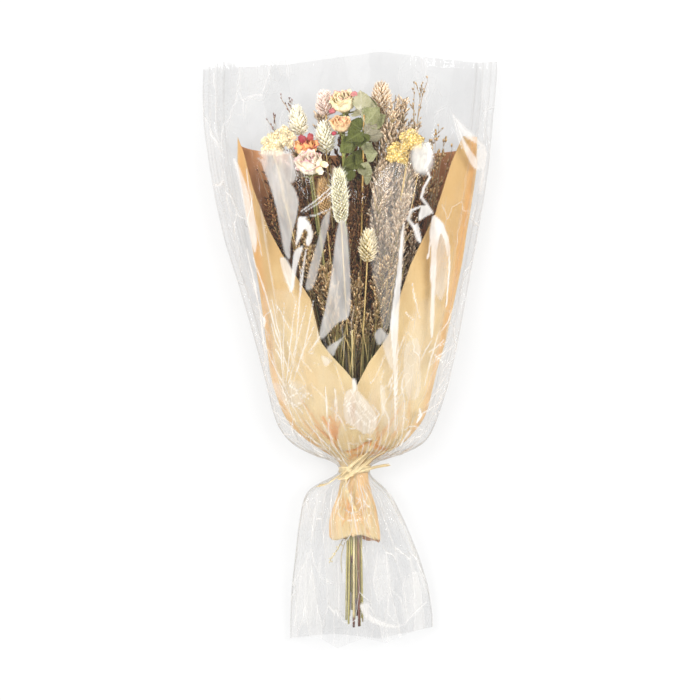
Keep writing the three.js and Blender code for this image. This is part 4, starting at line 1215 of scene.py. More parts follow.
# Bristly grasses: name, seed, centre, radius, half length, counts of seeds and bristles, shortest and longest
# bristle, its thickness, its colours from base to tip, how far it leans along the head.
BRISTLE_HEADS = [
    ("foxtail_pale", 81, (-10, 152, 72), 10.5, 29.0, (320, 250), (6.0, 12.5), 1.25,
        ("#E4DCA4", "#FBF4CE", "#FFFFFA"), 0.95),
    ("foxtail_brown", 82, (-26, 152, 56), 7.0, 19.0, (200, 240), (5.0, 9.0), 1.3,
        ("#9A6A34", "#D2A05A", "#FBE0B0"), 0.9),
    ("bunny_tail_grass", 83, (71, 192, 46), 11.0, 15.0, (220, 620), (5.0, 10.0), 1.3,
        ("#F2EBD2", "#FFFBEE", "#FFFFFC"), 0.6),
]
# Panicle grasses: centre and half length of the CAD's plume, then more plumes on culms of the same plant. Of
# each of those: middle, half length, reach of its branches, finish.
PANICLES = [
    ((47, 112, 61), 38, [((38, 190, 46), 50, 28, DUSTY), ((56, 158, 44), 40, 24, DUSTY),
        ((30, 148, 50), 36, 22, DUSTY), ((32, 226, 34), 30, 20, DUSTY), ((48, 208, 30), 40, 22, DUSTY),
        ((46, 176, 38), 40, 24, DUSTY), ((24, 196, 26), 36, 20, DARK), ((60, 190, 28), 34, 20, DUSTY)]),
    ((30, 52, 58), 36, [((34, 96, 50), 34, 20, DUSTY), ((16, 70, 42), 30, 18, DARK),
        ((46, 74, 48), 30, 18, DUSTY), ((38, 34, 46), 28, 15, DUSTY), ((28, 62, 34), 32, 20, DARK),
        ((40, 116, 38), 34, 22, DUSTY), ((50, 96, 34), 32, 20, DARK)]),
    ((66, 140, 28), 36, [((70, 158, 34), 30, 14, DARK), ((64, 112, 34), 34, 20, DARK),
        ((60, 86, 40), 30, 17, DUSTY), ((68, 130, 26), 34, 16, DARK), ((66, 182, 24), 28, 14, DARK)]),
    ((-38, 88, 50), 38, [((-32, 64, 46), 32, 18, HEAD), ((-22, 106, 44), 34, 20, DARK),
        ((-48, 112, 38), 32, 18, DARK), ((-46, 78, 42), 26, 15, HEAD), ((-36, 128, 28), 36, 22, DARK),
        ((-34, 92, 32), 34, 20, DARK), ((-54, 150, 36), 30, 18, DARK)]),
    ((-19, 48, 56), 34, [((-20, 14, 44), 24, 12, HEAD), ((-8, 62, 44), 30, 18, DARK),
        ((-2, 100, 42), 32, 20, DARK), ((-26, 40, 44), 26, 15, DARK), ((-14, 84, 30), 34, 20, DARK),
        ((-16, 128, 32), 34, 20, DARK), ((-12, 36, 34), 28, 16, HEAD)]),
    ((6, 34, 46), 34, [((14, 12, 38), 24, 13, HEAD), ((24, 32, 40), 26, 15, DARK),
        ((2, 52, 40), 28, 17, DARK), ((12, 126, 40), 34, 20, DARK), ((8, 170, 34), 30, 18, DARK),
        ((14, 92, 30), 34, 20, DARK), ((-6, 176, 26), 32, 20, DARK), ((22, 156, 28), 34, 20, DARK)]),
    ((-60, 142, 34), 38, [((-74, 150, 28), 30, 14, DARK), ((-72, 118, 34), 30, 18, DARK),
        ((-42, 150, 32), 32, 18, DARK), ((-26, 176, 30), 30, 18, DARK), ((-28, 226, 22), 18, 14, DUSTY),
        ((-66, 142, 24), 34, 20, DARK), ((-50, 174, 24), 32, 20, DUSTY), ((-74, 172, 26), 26, 12, DARK)]),
]
# Yarrow: name, middles of its two umbels, colours of a floret from its rays to its disc.
YARROWS = [
    ("yarrow_right", (60, 208, 60), (46, 195, 62), ("#D8A840", "#F2CF74", "#FCEDB8")),
    ("yarrow_left", (-78, 204, 46), (-66, 212, 46), ("#EAC690", "#FAE4B4", "#FFF6D4")),
]
UMBEL_RADIUS = 12.0
# Statice: tip, then its branches: height at which each leaves the twig, and x and y of its end.
SPRIGS = [
    ((78, 270, 34), [(190, 64, 262), (215, 72, 264), (170, 92, 222)]),
    ((46, 257, 26), [(180, 40, 226), (205, 56, 238)]),
    ((102, 200, 32), [(130, 86, 212), (105, 90, 165), (150, 94, 208), (120, 78, 184), (140, 88, 192),
        (110, 84, 176)]),
    ((-92, 184, 26), [(60, -66, 150), (95, -90, 130), (120, -74, 176)]),
    ((-68, 250, 28), [(170, -80, 226), (200, -58, 246)]),
]
# Colour of each cane from its foot to its head, as cut ends age differently.
CANE_SHADES = [
    ("#7A4A38", "#8E7458", "#A0AA62"),
    ("#B4BC5E", "#B8BC78", "#AAAC5E"),
    ("#5E3A2C", "#6E7A44", "#A0A062"),
    ("#B8B468", "#B4A66A", "#8E8450"),
    ("#9C8C50", "#D2B878", "#CCA25A"),
    ("#D2C08A", "#E0D0A0", "#DCCB92"),
    ("#743E30", "#8E6A4E", "#AEA468"),
    ("#B4B060", "#C8C280", "#B6B06A"),
]


def cane_material(number):
    """Dried cane: bark from brown or olive at the foot to green-gold, with fine lengthwise wrinkles."""
    return plant_material(f"dried_cane_{number}", (0.0, 0.03, 0.04, 0.35, 1.0),
                          ("#5A3022", "#6E4432", *CANE_SHADES[number - 1]), spread=0.25, fibre=(1800, 60, 0),
                          fibre_strength=0.45, bump_mm=0.25)


def whole_stem(name):
    """The middle line of a stem's node from its foot to its top."""
    return stem_line(name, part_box(name)[1].y / MM - 0.6)


def direction_of(centre):
    """From the tie to a head: the way its stem points."""
    return heading(np.asarray(centre, float) - NECK)


def add_stem(growth, line, foot_radius, head_radius, tone=0.5, finish=0, sides=8):
    """A round stem along its middle line, a little uneven."""
    steps = max(12, int(len(line) * 1.6))
    path = smooth_path(line, steps)
    radii = np.linspace(foot_radius, head_radius, steps) * (1 + 0.07 * growth.random.normal(0, 1, steps))
    growth.add(tube(path, radii, sides), tone=tone, finish=finish)
    return path


def glume_shape(length, width, thickness):
    """A pointed, keeled husk, 1 at its tip."""
    base = ball(6, 6)
    points = base["points"].copy()
    t = base["reach"]
    narrow = np.clip(1.25 * (1 - t) + 0.12, 0.05, 1.0) ** 0.6
    points[:, 0] *= narrow * width / 2
    points[:, 2] = points[:, 2] * narrow * thickness / 2 + 0.18 * thickness * t**2
    points[:, 1] = t * length
    return reshaped(base, points)


def slender(base, length, width):
    """A primitive made so long and so wide, from its base on."""
    points = base["points"] * [width, 0, width]
    points[:, 1] = base["reach"] * length
    return reshaped(base, points)


def seed_shape(length, width):
    """A small grain with an awn's point: few faces, since it is repeated by the thousand."""
    return slender(ball(4, 3), length, width / 2)


def bristle_shape(length, width):
    """A three-sided bristle or thorn with a sharp tip."""
    cone = primitive_shape(bpy.ops.mesh.primitive_cone_add, vertices=3, radius1=0.5, depth=1)
    return slender(cone, length, width)


def around_axis(axis):
    """Two directions square to an axis."""
    first = heading(np.cross(axis, UP))
    return first, np.cross(first, axis)


def spiral_places(count, centre, axis, radius, half_length, power=0.5):
    """Places by the golden angle on an egg: centre line share, point and outward direction."""
    first, second = around_axis(axis)
    for k in range(count):
        share = -1 + 2 * (k + 0.5) / count
        angle = k * GOLDEN_ANGLE
        outward = first * math.cos(angle) + second * math.sin(angle)
        waist = radius * (1 - share**2) ** power * (1 - 0.12 * share)
        yield share, np.asarray(centre) + axis * share * half_length + outward * waist, outward


# ---------------------------------------------------------------- roses and leaves


def petal_patch(random, width, cup, height, curl, ruffle, close):
    """A cupped petal on the rose's axis (+Y), facing +Z: it swells, closes again and rolls at its rim."""
    across, rising = np.meshgrid(np.linspace(-1, 1, 13), np.linspace(0, 1, 13))
    narrow = np.clip(0.32 + 1.0 * np.sin(math.pi * np.clip(rising * 0.66 + 0.06, 0, 1)), 0, 1.2)
    turn = across * width * narrow / 1.2
    phase = random.uniform(0, 6, 3)
    swell = np.sin(math.pi / 2 * np.clip(rising * 1.9, 0, 1)) ** 0.8
    waist = cup * (swell - close * smoothstep(rising, 0.45, 1.0))
    flare = curl * smoothstep(rising, 0.72, 1.0) ** 2
    wave = ruffle * rising**3 * (np.sin(3.3 * across + phase[0]) + 0.6 * np.sin(9 * across + phase[1]))
    radius = waist + flare * cup + wave + 0.3 * np.sin(across * 7 + phase[2]) * rising
    top = height * (rising - 0.20 * rising**2 * across**2 - 0.16 * flare)
    top = top + 0.9 * ruffle * rising**4 * np.sin(6 * across + phase[1])
    points = np.stack([radius * np.sin(turn), top, radius * np.cos(turn)], axis=-1)
    rim = np.clip(rising + 0.07 * np.abs(across) ** 3 + 0.03 * np.sin(11 * across + phase[2]), 0, 1)
    return patch(points, np.abs(across) * 6, rising * height, rim)


def add_petals(growth, base, axis, radius, closed, pale):
    """The rings of petals round a rose's axis, the inner ones upright and the outer ones tilted out."""
    random = growth.random
    for ring, (count, cup, height, width, curl) in enumerate(PETAL_RINGS):
        start = random.uniform(0, 6)
        for k in range(count):
            roll = start + 2 * math.pi * (k + 0.2 * random.normal()) / count
            shape = petal_patch(random, width * random.uniform(0.85, 1.1), cup * radius * 0.95,
                                height * radius * random.uniform(0.88, 1.08), curl * random.uniform(0.3, 1.7),
                                radius * (0.03 + 0.05 * cup), closed * random.uniform(0.7, 1.2))
            if random.random() < pale:
                shape["reach"] = shape["reach"] * random.uniform(0.90, 0.95)
            tilt = Matrix.Rotation(0.05 * ring * random.uniform(0.2, 1.5), 4, "X")
            growth.add(shape, frame_along(base, axis, roll=roll) @ tilt, tone=random.random())


def add_calyx(growth, base, axis, radius):
    """The green cup under a rose, with its five sepals."""
    random = growth.random
    cup = ball(12, 8)
    cup = reshaped(cup, cup["points"] * (0.40 * radius))
    growth.add(cup, frame_along(base + axis * 0.05 * radius, axis), tone=0.4, finish=STEM)
    for k in range(5):
        sepal = sepal_patch(radius, 0.28 * radius)
        roll = 2 * math.pi * k / 5 + random.normal(0, 0.15)
        tilt = Matrix.Rotation(0.75 + random.uniform(-0.2, 0.6), 4, "X")
        growth.add(sepal, frame_along(base, axis, roll=roll) @ tilt, tone=random.random(), finish=STEM)


def make_roses():
    """Dried spray roses: papery petals, paler at the base and dark along the rolled rims."""
    green = plant_material("dried_rose_calyx", (0.0, 0.6, 1.0), ("#7C7C4A", "#97935C", "#A88C58"), spread=0.2,
                           fibre=(1400, 120, 0), fibre_strength=0.4)
    thorn = bristle_shape(2.4, 1.2)
    for number, (centre, radius, shades, lean, closed, pale, bits) in enumerate(ROSES, 1):
        petals = plant_material(f"dried_rose_petal_{number}", (0.0, 0.5, 0.90, 0.96, 1.0), shades,
                                spread=0.14, roughness=0.7, fibre=(1300, 240, 0), fibre_strength=0.16,
                                glow=0.04, bump_mm=0.25)
        growth = Growth(50 + number)
        random = growth.random
        axis = heading(direction_of(centre) + lean)
        base = np.asarray(centre) - axis * radius
        add_petals(growth, base, axis, radius, closed, pale)
        for place, length, way, redness in bits:
            bit = petal_patch(random, 0.9, 0.42 * length, length, 0.2, 0.5, 0.3)
            bit["reach"] = redness + (1 - redness) * 0.5 * bit["reach"]
            growth.add(bit, frame_along(place, way))
        add_calyx(growth, base, axis, radius)
        name = f"rose_head_{number}"
        obj = growth.piece(f"{name}_petals", [petals, green], (name,))
        thicken(obj, PETAL_THICKNESS)
        name = f"rose_stem_{number}"
        growth = Growth(60 + number)
        path = add_stem(growth, np.vstack([whole_stem(name), base + axis * 0.1 * radius]), 1.25, 0.95)
        for place in path[6:-4:4]:
            way = random.normal(0, 1, 3) * [1, 0.15, 1] + [0, 0.5, 0]
            growth.add(thorn, frame_along(place, way), tone=0.3)
        growth.piece(f"{name}_cane", [cane_material(number)], (name,))


def sepal_patch(length, width):
    """A pointed sepal, keeled and bent outwards."""
    across, rising = np.meshgrid(np.linspace(-1, 1, 3), np.linspace(0, 1, 6))
    half = width / 2 * np.sin(math.pi * np.clip(rising * 0.92 + 0.08, 0, 1)) ** 0.7
    lift = 0.42 * length * np.sin(rising * 1.8) + 0.05 * length * np.abs(across)
    points = np.stack([across * half, rising * length * 0.85, lift * 0.6 + 0.2 * length], axis=-1)
    return patch(points, np.abs(across) * half, rising * length, rising)


def leaf_patch(random, length, width):
    """A toothed leaf on its stalk, from +Y's foot: cupped, curled and rippled towards its edge."""
    across, rising = np.meshgrid(np.linspace(-1, 1, 15), np.linspace(0, 1, 45))
    stalk = 1 - min(0.85, 1.75 * width / length)
    blade = np.clip((rising - stalk) / (1 - stalk), 0, 1)
    outline = np.sin(math.pi * blade**0.78) ** np.interp(blade, [0.0, 0.55, 1.0], [0.7, 0.75, 1.15])
    teeth = 1 + 0.2 * (np.mod(blade * 9, 1.0) - 0.5) * (outline > 0.15)
    half = np.maximum(0.5 * (blade < 0.5), width * 0.68 * outline * teeth)
    cup = random.uniform(-0.22, 0.34) * width
    curl = random.uniform(-0.10, 0.10) * length
    height = cup * outline * across**2 + 0.14 * width * outline * np.abs(across) + curl * rising**2
    height += 0.06 * width * np.sin(rising * 16 + 3 * across + random.uniform(0, 6)) * np.abs(across)
    height -= 0.6 * np.exp(-((across / 0.12) ** 2)) * outline
    points = np.stack([across * half, rising * length, height], axis=-1)
    return patch(points, np.abs(across) * half, rising * length, rising)


def make_leaves():
    """The leafy stem: grey-green dried rose leaves, cupped and toothed, some in twos and threes."""
    line = stem_line("leaf_stem", LEAF_STEM_TOP)
    growth = Growth(70)
    add_stem(growth, line, 1.1, 0.8)
    growth.piece("leaf_stem_cane", [cane_material(5)], ("leaf_stem",))
    for number, (start, shades, tips) in enumerate(LEAVES, 1):
        growth = Growth(70 + number)
        random = growth.random
        base = point_at(line, min(start, LEAF_STEM_TOP))
        for tip, width in tips:
            way = np.asarray(tip, float) - base
            shape = leaf_patch(random, np.linalg.norm(way), width)
            lean = Matrix.Rotation(random.uniform(-0.45, 0.45), 4, "Y")
            growth.add(shape, frame_along(base, way) @ lean, tone=random.random())
        material = leaf_material(f"dried_rose_leaf_{number}", *map(srgb, shades))
        obj = growth.piece(f"rose_leaf_{number}_blade", [material], (f"rose_leaf_{number}",))
        thicken(obj, LEAF_THICKNESS)


def golden_stem_material():
    """Cured grass culm: golden straw, satin, finely ribbed."""
    return bpy.data.materials.get("golden_culm") or plant_material(
        "golden_culm", (0.0, 0.45, 1.0), ("#A89F58", "#D3BD7C", "#D8B878"), spread=0.35, roughness=0.6,
        fibre=(2200, 40, 0), fibre_strength=0.35, bump_mm=0.2)


# ---------------------------------------------------------------- grass heads


def make_canary():
    """Canary grass: egg-shaped heads of overlapping keeled husks, pale with green ribs."""
    husk = glume_shape(7.4, 4.4, 1.7)
    for number, (centre, radius, half_length, shades) in enumerate(CANARY, 1):
        name = f"canary_grass_{number}"
        growth = Growth(98 + number)
        random = growth.random
        axis = direction_of(centre)
        base = np.asarray(centre) - axis * half_length
        line = stem_line(name, base[1] - 1)
        add_stem(growth, np.vstack([line, base, base + axis * half_length]), 0.95, 0.65, finish=STEM)
        places = spiral_places(130, centre, axis, radius * 0.68, half_length * 0.84, 0.42)
        for share, point, outward in places:
            way = axis * (1.0 + 0.4 * share) + outward * (0.8 - 0.35 * share) + random.normal(0, 0.12, 3)
            size = random.uniform(0.8, 1.12) * (1.0 - 0.16 * abs(share))
            growth.add(husk, frame_along(point - axis * 2.4, way, outward, size), tone=random.random())
        husks = plant_material(f"canary_grass_husk_{number}", (0.0, 0.35, 0.8, 1.0), shades, spread=0.2,
                               roughness=0.75, fibre=(2300, 60, 0), fibre_strength=0.2, bump_mm=0.2)
        growth.piece(f"{name}_head", [husks, golden_stem_material()], (name,))


def make_bristle_grass():
    """Foxtails and a bunny tail: soft spikes, small seeds round the axis under a coat of bristles."""
    grain = seed_shape(3.6, 1.7)
    hair = bristle_shape(1.0, 1.0)
    for name, seed, centre, radius, half_length, counts, lengths, thick, shades, lean in BRISTLE_HEADS:
        seeds, bristles = counts
        growth = Growth(seed)
        random = growth.random
        axis = direction_of(centre)
        base = np.asarray(centre) - axis * half_length
        line = stem_line(name, base[1] - 1)
        add_stem(growth, np.vstack([line, base, np.asarray(centre)]), 0.95, 0.6, finish=STEM)
        core = radius * 0.55
        for share, point, outward in spiral_places(seeds, centre, axis, core, half_length * 0.9, 0.4):
            way = axis * 0.8 + outward * (0.8 - 0.3 * share)
            growth.add(grain, frame_along(point - axis, way, up=outward), tone=random.random())
        for share, point, outward in spiral_places(bristles, centre, axis, core, half_length * 0.92, 0.45):
            way = axis * lean + outward * random.uniform(0.55, 1.0) + random.normal(0, 0.16, 3)
            length = random.uniform(*lengths) * (1 - 0.25 * abs(share))
            growth.add(hair, frame_along(point - outward * 0.5, way, size=length, thick=thick),
                       tone=random.uniform(0.35, 1.0))
        material = plant_material(f"{name}_bristle", (0.0, 0.45, 1.0), shades, spread=0.25,
                                  fibre_strength=0.12)
        growth.piece(f"{name}_head", [material, golden_stem_material()], (name,))


def add_plume(growth, grain, centre, axis, half_length, branches, reach, finish):
    """A loose panicle: side branches that shorten towards the tip, set with small grains."""
    random = growth.random
    first, second = around_axis(axis)
    for k in range(branches):
        share = -1.1 + 2.05 * (k + random.random()) / branches
        start = np.asarray(centre) + axis * share * half_length
        angle = k * GOLDEN_ANGLE + random.normal(0, 0.3)
        outward = first * math.cos(angle) + second * math.sin(angle)
        length = reach * random.uniform(0.6, 1.15) * np.interp(share, [-1.2, -0.4, 1.0], [0.9, 1.0, 0.35])
        spread = random.uniform(0.25, 0.55)
        bend = start + axis * length * 0.55 + outward * length * spread * 0.75
        end = start + axis * length * 1.0 + outward * length * spread * 1.1 + random.normal(0, 0.6, 3)
        path = smooth_path([start, bend, end], 5)
        growth.add(tube(path, np.linspace(0.42, 0.2, 5), 3), tone=random.random(), finish=STEM)
        for place in np.linspace(0.12, 1.0, int(3 + length * 0.36)):
            spot = start + (end - start) * place
            spot = spot + (bend - (start + end) / 2) * 2 * place * (1 - place)
            way = axis + random.normal(0, 0.3, 3) + outward * 0.5
            size = random.uniform(0.7, 1.25)
            growth.add(grain, frame_along(spot, way, size=size), tone=random.random(), finish=finish)


def add_blade(growth, line, start, length, side, width, finish):
    """A long dry grass blade that leaves a stem and runs along the bunch."""
    random = growth.random
    end = min(start + length, line[-1, 1] + 18)
    tip = point_at(line, end) + side * 11
    tip[1] = end
    bend = point_at(line, start + 0.4 * (end - start)) + side * 4
    path = smooth_path([point_at(line, start), bend, tip], 14)
    share = np.linspace(0, 1, 14)
    half = width / 2 * np.sin(math.pi * np.clip(share * 0.9 + 0.1, 0, 1)) ** 0.6
    up = random.normal(0, 0.5, 3) + UP
    growth.add(tube(path, half, 6, flat=0.16, up=up), tone=random.random(), finish=finish)


def grain_material(name, codes, spread, glow):
    """Small dry grains and buds: matt and streaky, with a little light coming through."""
    return plant_material(name, (0.0, 0.5, 1.0), codes, spread=spread, roughness=0.85, fibre=(1200, 120, 0),
                          fibre_strength=0.3, glow=glow)


def make_panicles():
    """Meadow grass panicles: dusty brown branchlets and grains on green-gold culms."""
    grain = seed_shape(5.4, 1.8)
    # The reddish brown at the feet of the blades is painted shade: it stands for the shaded inside of the
    # paper at the bottom of the V.
    blade = plant_material("dry_grass_blade", (0.0, 0.15, 0.5, 1.0),
                           ("#5A3420", "#6A4A2C", "#6F6A3E", "#94804F"), spread=0.5, roughness=0.75,
                           fibre=(1600, 40, 0), fibre_strength=0.5, bump_mm=0.2)
    finishes = [
        grain_material("meadow_grass_grain", ("#7A5634", "#B08C5C", "#ECD6AC"), 0.5, 0.12),
        golden_stem_material(),
        blade,
        grain_material("dusty_grass_grain", ("#A88C70", "#D4B898", "#F6E6CC"), 0.35, 0.06),
        grain_material("dark_grass_grain", ("#4A2C1A", "#72482A", "#B08458"), 0.5, 0.1),
    ]
    for number, (centre, half_length, plumes) in enumerate(PANICLES, 1):
        name = f"panicle_grass_{number}"
        growth = Growth(89 + number)
        random = growth.random
        axis = direction_of(centre)
        middle = np.asarray(centre)
        base = middle - axis * half_length
        line = stem_line(name, base[1] - 1)
        add_stem(growth, np.vstack([line, base, middle, middle + axis * half_length]), 1.0, 0.35, finish=STEM)
        add_plume(growth, grain, centre, axis, half_length, 40, 22, DUSTY if number in (1, 3) else HEAD)
        for tip, half, reach, finish in plumes:
            tip = np.asarray(tip, float)
            way = direction_of(tip + [0, 30, 0])
            foot = point_at(line, random.uniform(-110, -96))
            start = tip - way * half
            bend = foot + (start - foot) * 0.5 + random.normal(0, 1.5, 3)
            culm = tube(smooth_path([foot, bend, start, tip + way * half], 26), np.linspace(0.75, 0.3, 26), 5)
            growth.add(culm, tone=random.random(), finish=(STEM, BLADE, BLADE)[int(3 * random.random())])
            add_plume(growth, grain, tip, way, half, int(half * 1.15), reach, finish)
        for _ in range(5):
            side = random.normal(0, 1, 3) * [1, 0, 0.4]
            add_blade(growth, line, random.uniform(-95, 20), random.uniform(70, 150), side,
                      random.uniform(1.6, 3.0), BLADE)
        for k in range(8):
            side = random.normal(0, 1, 3) * [1, 0, 0.3] + [0, 0, 1.5]
            add_blade(growth, line, random.uniform(-90, -10), random.uniform(100, 190), side,
                      random.uniform(0.9, 1.6), STEM if k % 3 == 0 else BLADE)
        growth.piece(f"{name}_plume", finishes, (name,))


# ---------------------------------------------------------------- yarrow, statice and bare stems


def floret_shape():
    """A yarrow floret: a raised disc in a ring of five blunt rays."""
    disc = ball(6, 4)
    parts = [(disc["faces"], disc["points"] * [0.75, 0.6, 0.75], 1.0)]
    ray = primitive_shape(bpy.ops.mesh.primitive_ico_sphere_add, subdivisions=1, radius=1)
    for k in range(5):
        turn = 2 * math.pi * k / 5
        moved = ray["points"] * [0.62, 0.22, 0.62] + [1.05 * math.cos(turn), -0.1, 1.05 * math.sin(turn)]
        parts.append((ray["faces"], moved, 0.3))
    points, faces, reach = [], [], []
    for part_faces, moved, level in parts:
        faces += [tuple(i + len(points) for i in face) for face in part_faces]
        points.extend(moved)
        reach += [level] * len(moved)
    points = np.array(points)
    return {"points": points, "faces": faces, "grain": np.abs(points), "reach": np.array(reach)}


def add_umbel(growth, floret, centre, axis, radius, stalk_from, count):
    """A crowded flat-topped head: small rounded umbels of florets, each on its own short stalk."""
    random = growth.random
    first, second = around_axis(axis)
    lobes = 9
    for lobe in range(lobes):
        share = math.sqrt((lobe + 0.3) / lobes)
        angle = lobe * GOLDEN_ANGLE + 0.5
        heart = (first * math.cos(angle) + second * math.sin(angle)) * radius * 0.74 * share
        heart = np.asarray(centre) + heart + axis * (2.2 * (1 - share**2) + random.normal(0, 0.5))
        stalk = tube(smooth_path([stalk_from, (stalk_from + heart) / 2, heart], 5), 0.5, 4)
        growth.add(stalk, tone=0.4, finish=STEM)
        lobe_radius = radius * 0.36
        for k in range(count // lobes):
            place = math.sqrt((k + 0.5) * lobes / count)
            turn = k * GOLDEN_ANGLE + lobe
            outward = first * math.cos(turn) + second * math.sin(turn)
            point = heart + outward * lobe_radius * place + axis * (2.4 * (1 - place**2))
            point = point + random.normal(0, 0.4, 3)
            way = axis + outward * place * 0.9 + random.normal(0, 0.25, 3)
            size = random.uniform(0.85, 1.2)
            growth.add(floret, frame_along(point, way, size=size), tone=random.random())


def make_yarrow():
    """Dried yarrow: flat heads of crowded small florets."""
    floret = floret_shape()
    facing = np.array([0, 0.45, 0.89])
    for seed, (name, centre, second, shades) in enumerate(YARROWS, 110):
        growth = Growth(seed)
        line = stem_line(name, centre[1] - 26)
        fork = line[-1]
        end = np.asarray(centre) - facing * 10
        add_stem(growth, np.vstack([line, (fork + end) / 2, end]), 1.1, 0.8, finish=STEM)
        other = np.asarray(second) - facing * 9
        branch = tube(smooth_path([fork, (fork + other) / 2 + [0, 2, 0], other], 8), 0.7, 6)
        growth.add(branch, finish=STEM)
        add_umbel(growth, floret, centre, facing, UMBEL_RADIUS * 1.15, end, 225)
        add_umbel(growth, floret, second, facing, UMBEL_RADIUS * 1.08, other, 205)
        material = plant_material(f"{name}_floret", (0.0, 0.35, 1.0), shades, spread=0.38, roughness=0.85,
                                  fibre=(900, 900, 900), fibre_strength=0.2)
        growth.piece(f"{name}_umbels", [material, golden_stem_material()], (name,))


def add_twig(growth, path, radius, bud, buds, spread):
    """A thin twig with small closed buds along its outer half."""
    random = growth.random
    growth.add(tube(path, np.linspace(radius, radius * 0.5, len(path)), 5), tone=random.random(), finish=STEM)
    for _ in range(buds):
        share = random.uniform(0.35, 1.0)
        place = path[min(len(path) - 1, int(share * len(path)))]
        way = path[-1] - path[0] + random.normal(0, spread, 3) * np.linalg.norm(path[-1] - path[0])
        length = random.uniform(2.0, 6.0)
        way = heading(way)
        tip = place + way * length
        stalk = tube(np.array([place, (place + tip) / 2 + random.normal(0, 0.3, 3), tip]), 0.2, 3)
        growth.add(stalk, tone=random.random(), finish=STEM)
        growth.add(bud, frame_along(tip - way * 0.4, way), tone=random.random())


def add_branch(growth, path, fork, end, bud):
    """A branch of a sprig from its fork to its end, with a twig out of each of two places along it."""
    random = growth.random
    add_twig(growth, path, 0.38, bud, 8, 0.25)
    for share in random.uniform(0.4, 0.9, 2):
        foot = path[int(share * 13)]
        way = heading(end - fork) + random.normal(0, 0.35, 3) * [1, 0.5, 0.6]
        point = foot + way * random.uniform(9, 18)
        bend = (foot + point) / 2 + random.normal(0, 0.8, 3)
        add_twig(growth, smooth_path([foot, bend, point], 7), 0.26, bud, 4, 0.3)


def make_statice():
    """Sea lavender twigs: wiry branches with tiny papery buds, tan or purple."""
    twig = plant_material("statice_twig", (0.0, 0.5, 1.0), ("#A8966C", "#BEA882", "#AC8E6E"), spread=0.3,
                          fibre=(1800, 60, 0), fibre_strength=0.3)
    tan = grain_material("statice_bud_tan", ("#9C7440", "#C29C66", "#E6D0A6"), 0.4, 0.1)
    purple = grain_material("statice_bud_purple", ("#6B4A44", "#8E6F68", "#BFA8A0"), 0.4, 0.1)
    for number, (tip, branches) in enumerate(SPRIGS, 1):
        bud = seed_shape(4.6, 2.1) if number == 3 else seed_shape(2.9, 1.4)
        name = f"statice_sprig_{number}"
        growth = Growth(120 + number)
        line = stem_line(name, tip[1] - 1.5, steps=40)
        if line[-1, 1] < tip[1] - 6:
            line = np.vstack([line, tip])
        path = add_stem(growth, line, 0.8, 0.35, finish=STEM)
        add_twig(growth, path[-14:], 0.35, bud, 9, 0.25)
        for start, x, y in branches:
            fork = point_at(path, start)
            end = np.array([x, y, fork[2] + 4.0])
            add_branch(growth, smooth_path([fork, (fork + end) / 2 + [0, 5, 1], end], 14), fork, end, bud)
        growth.piece(f"{name}_twigs", [purple if number > 3 else tan, twig], (name,))


def add_stray_twigs(growth):
    """Two broken twigs beside the cut ends, one of them with a few small grains left on it."""
    grain = seed_shape(3.4, 1.3)
    for line in ([(0, -178, 16), (-6, -196, 13), (-9, -210, 10), (-8, -224, 8)],
                 [(-2, -180, 14), (-10, -196, 12), (-16, -206, 10), (-20, -212, 9)]):
        path = smooth_path(line, 12)
        growth.add(tube(path, np.linspace(0.6, 0.35, 12), 5), tone=0.2)
    for place in path[5:]:
        for _ in range(2):
            growth.add(grain, frame_along(place, growth.random.normal(0, 1, 3) + [-1, -1, 0]), tone=0.8)


def make_bare_stems():
    """The stems that end inside the bunch, ringed at their nodes."""
    for number in (1, 2, 3):
        name = f"bare_stem_{number}"
        growth = Growth(130 + number)
        path = add_stem(growth, whole_stem(name), 1.15, 0.8)
        way = heading(path[-1] - path[0])
        for place in path[8::9]:
            growth.add(tube(place + way * np.array([[-0.8], [0], [0.8]]), [1.1, 1.35, 1.1], 8), tone=0.3)
        if number == 1:
            add_stray_twigs(growth)
        growth.piece(f"{name}_cane", [cane_material(number + 5)], (name,))


# ---------------------------------------------------------------- floor, lights and camera

CAMERA_HEIGHT = 4.0
PICTURE_WIDTH = 0.700
PICTURE_PLANE = 0.035  # height at which the picture is that wide
SENSOR_WIDTH = 36.0


def area_light(name, place, width, height, watts, mirrored):
    """A soft light aimed at the flowers. Only the thin strips show as glints in the film."""
    data = bpy.data.lights.new(name, "AREA")
    data.shape, data.size, data.size_y, data.energy = "RECTANGLE", width, height, watts
    obj = bpy.data.objects.new(name, data)
    obj.location = place
    obj.rotation_euler = (Vector((0, 0.05, 0)) - Vector(place)).to_track_quat("-Z", "Y").to_euler()
    obj.visible_camera = False
    obj.visible_glossy = mirrored
    bpy.context.scene.collection.objects.link(obj)


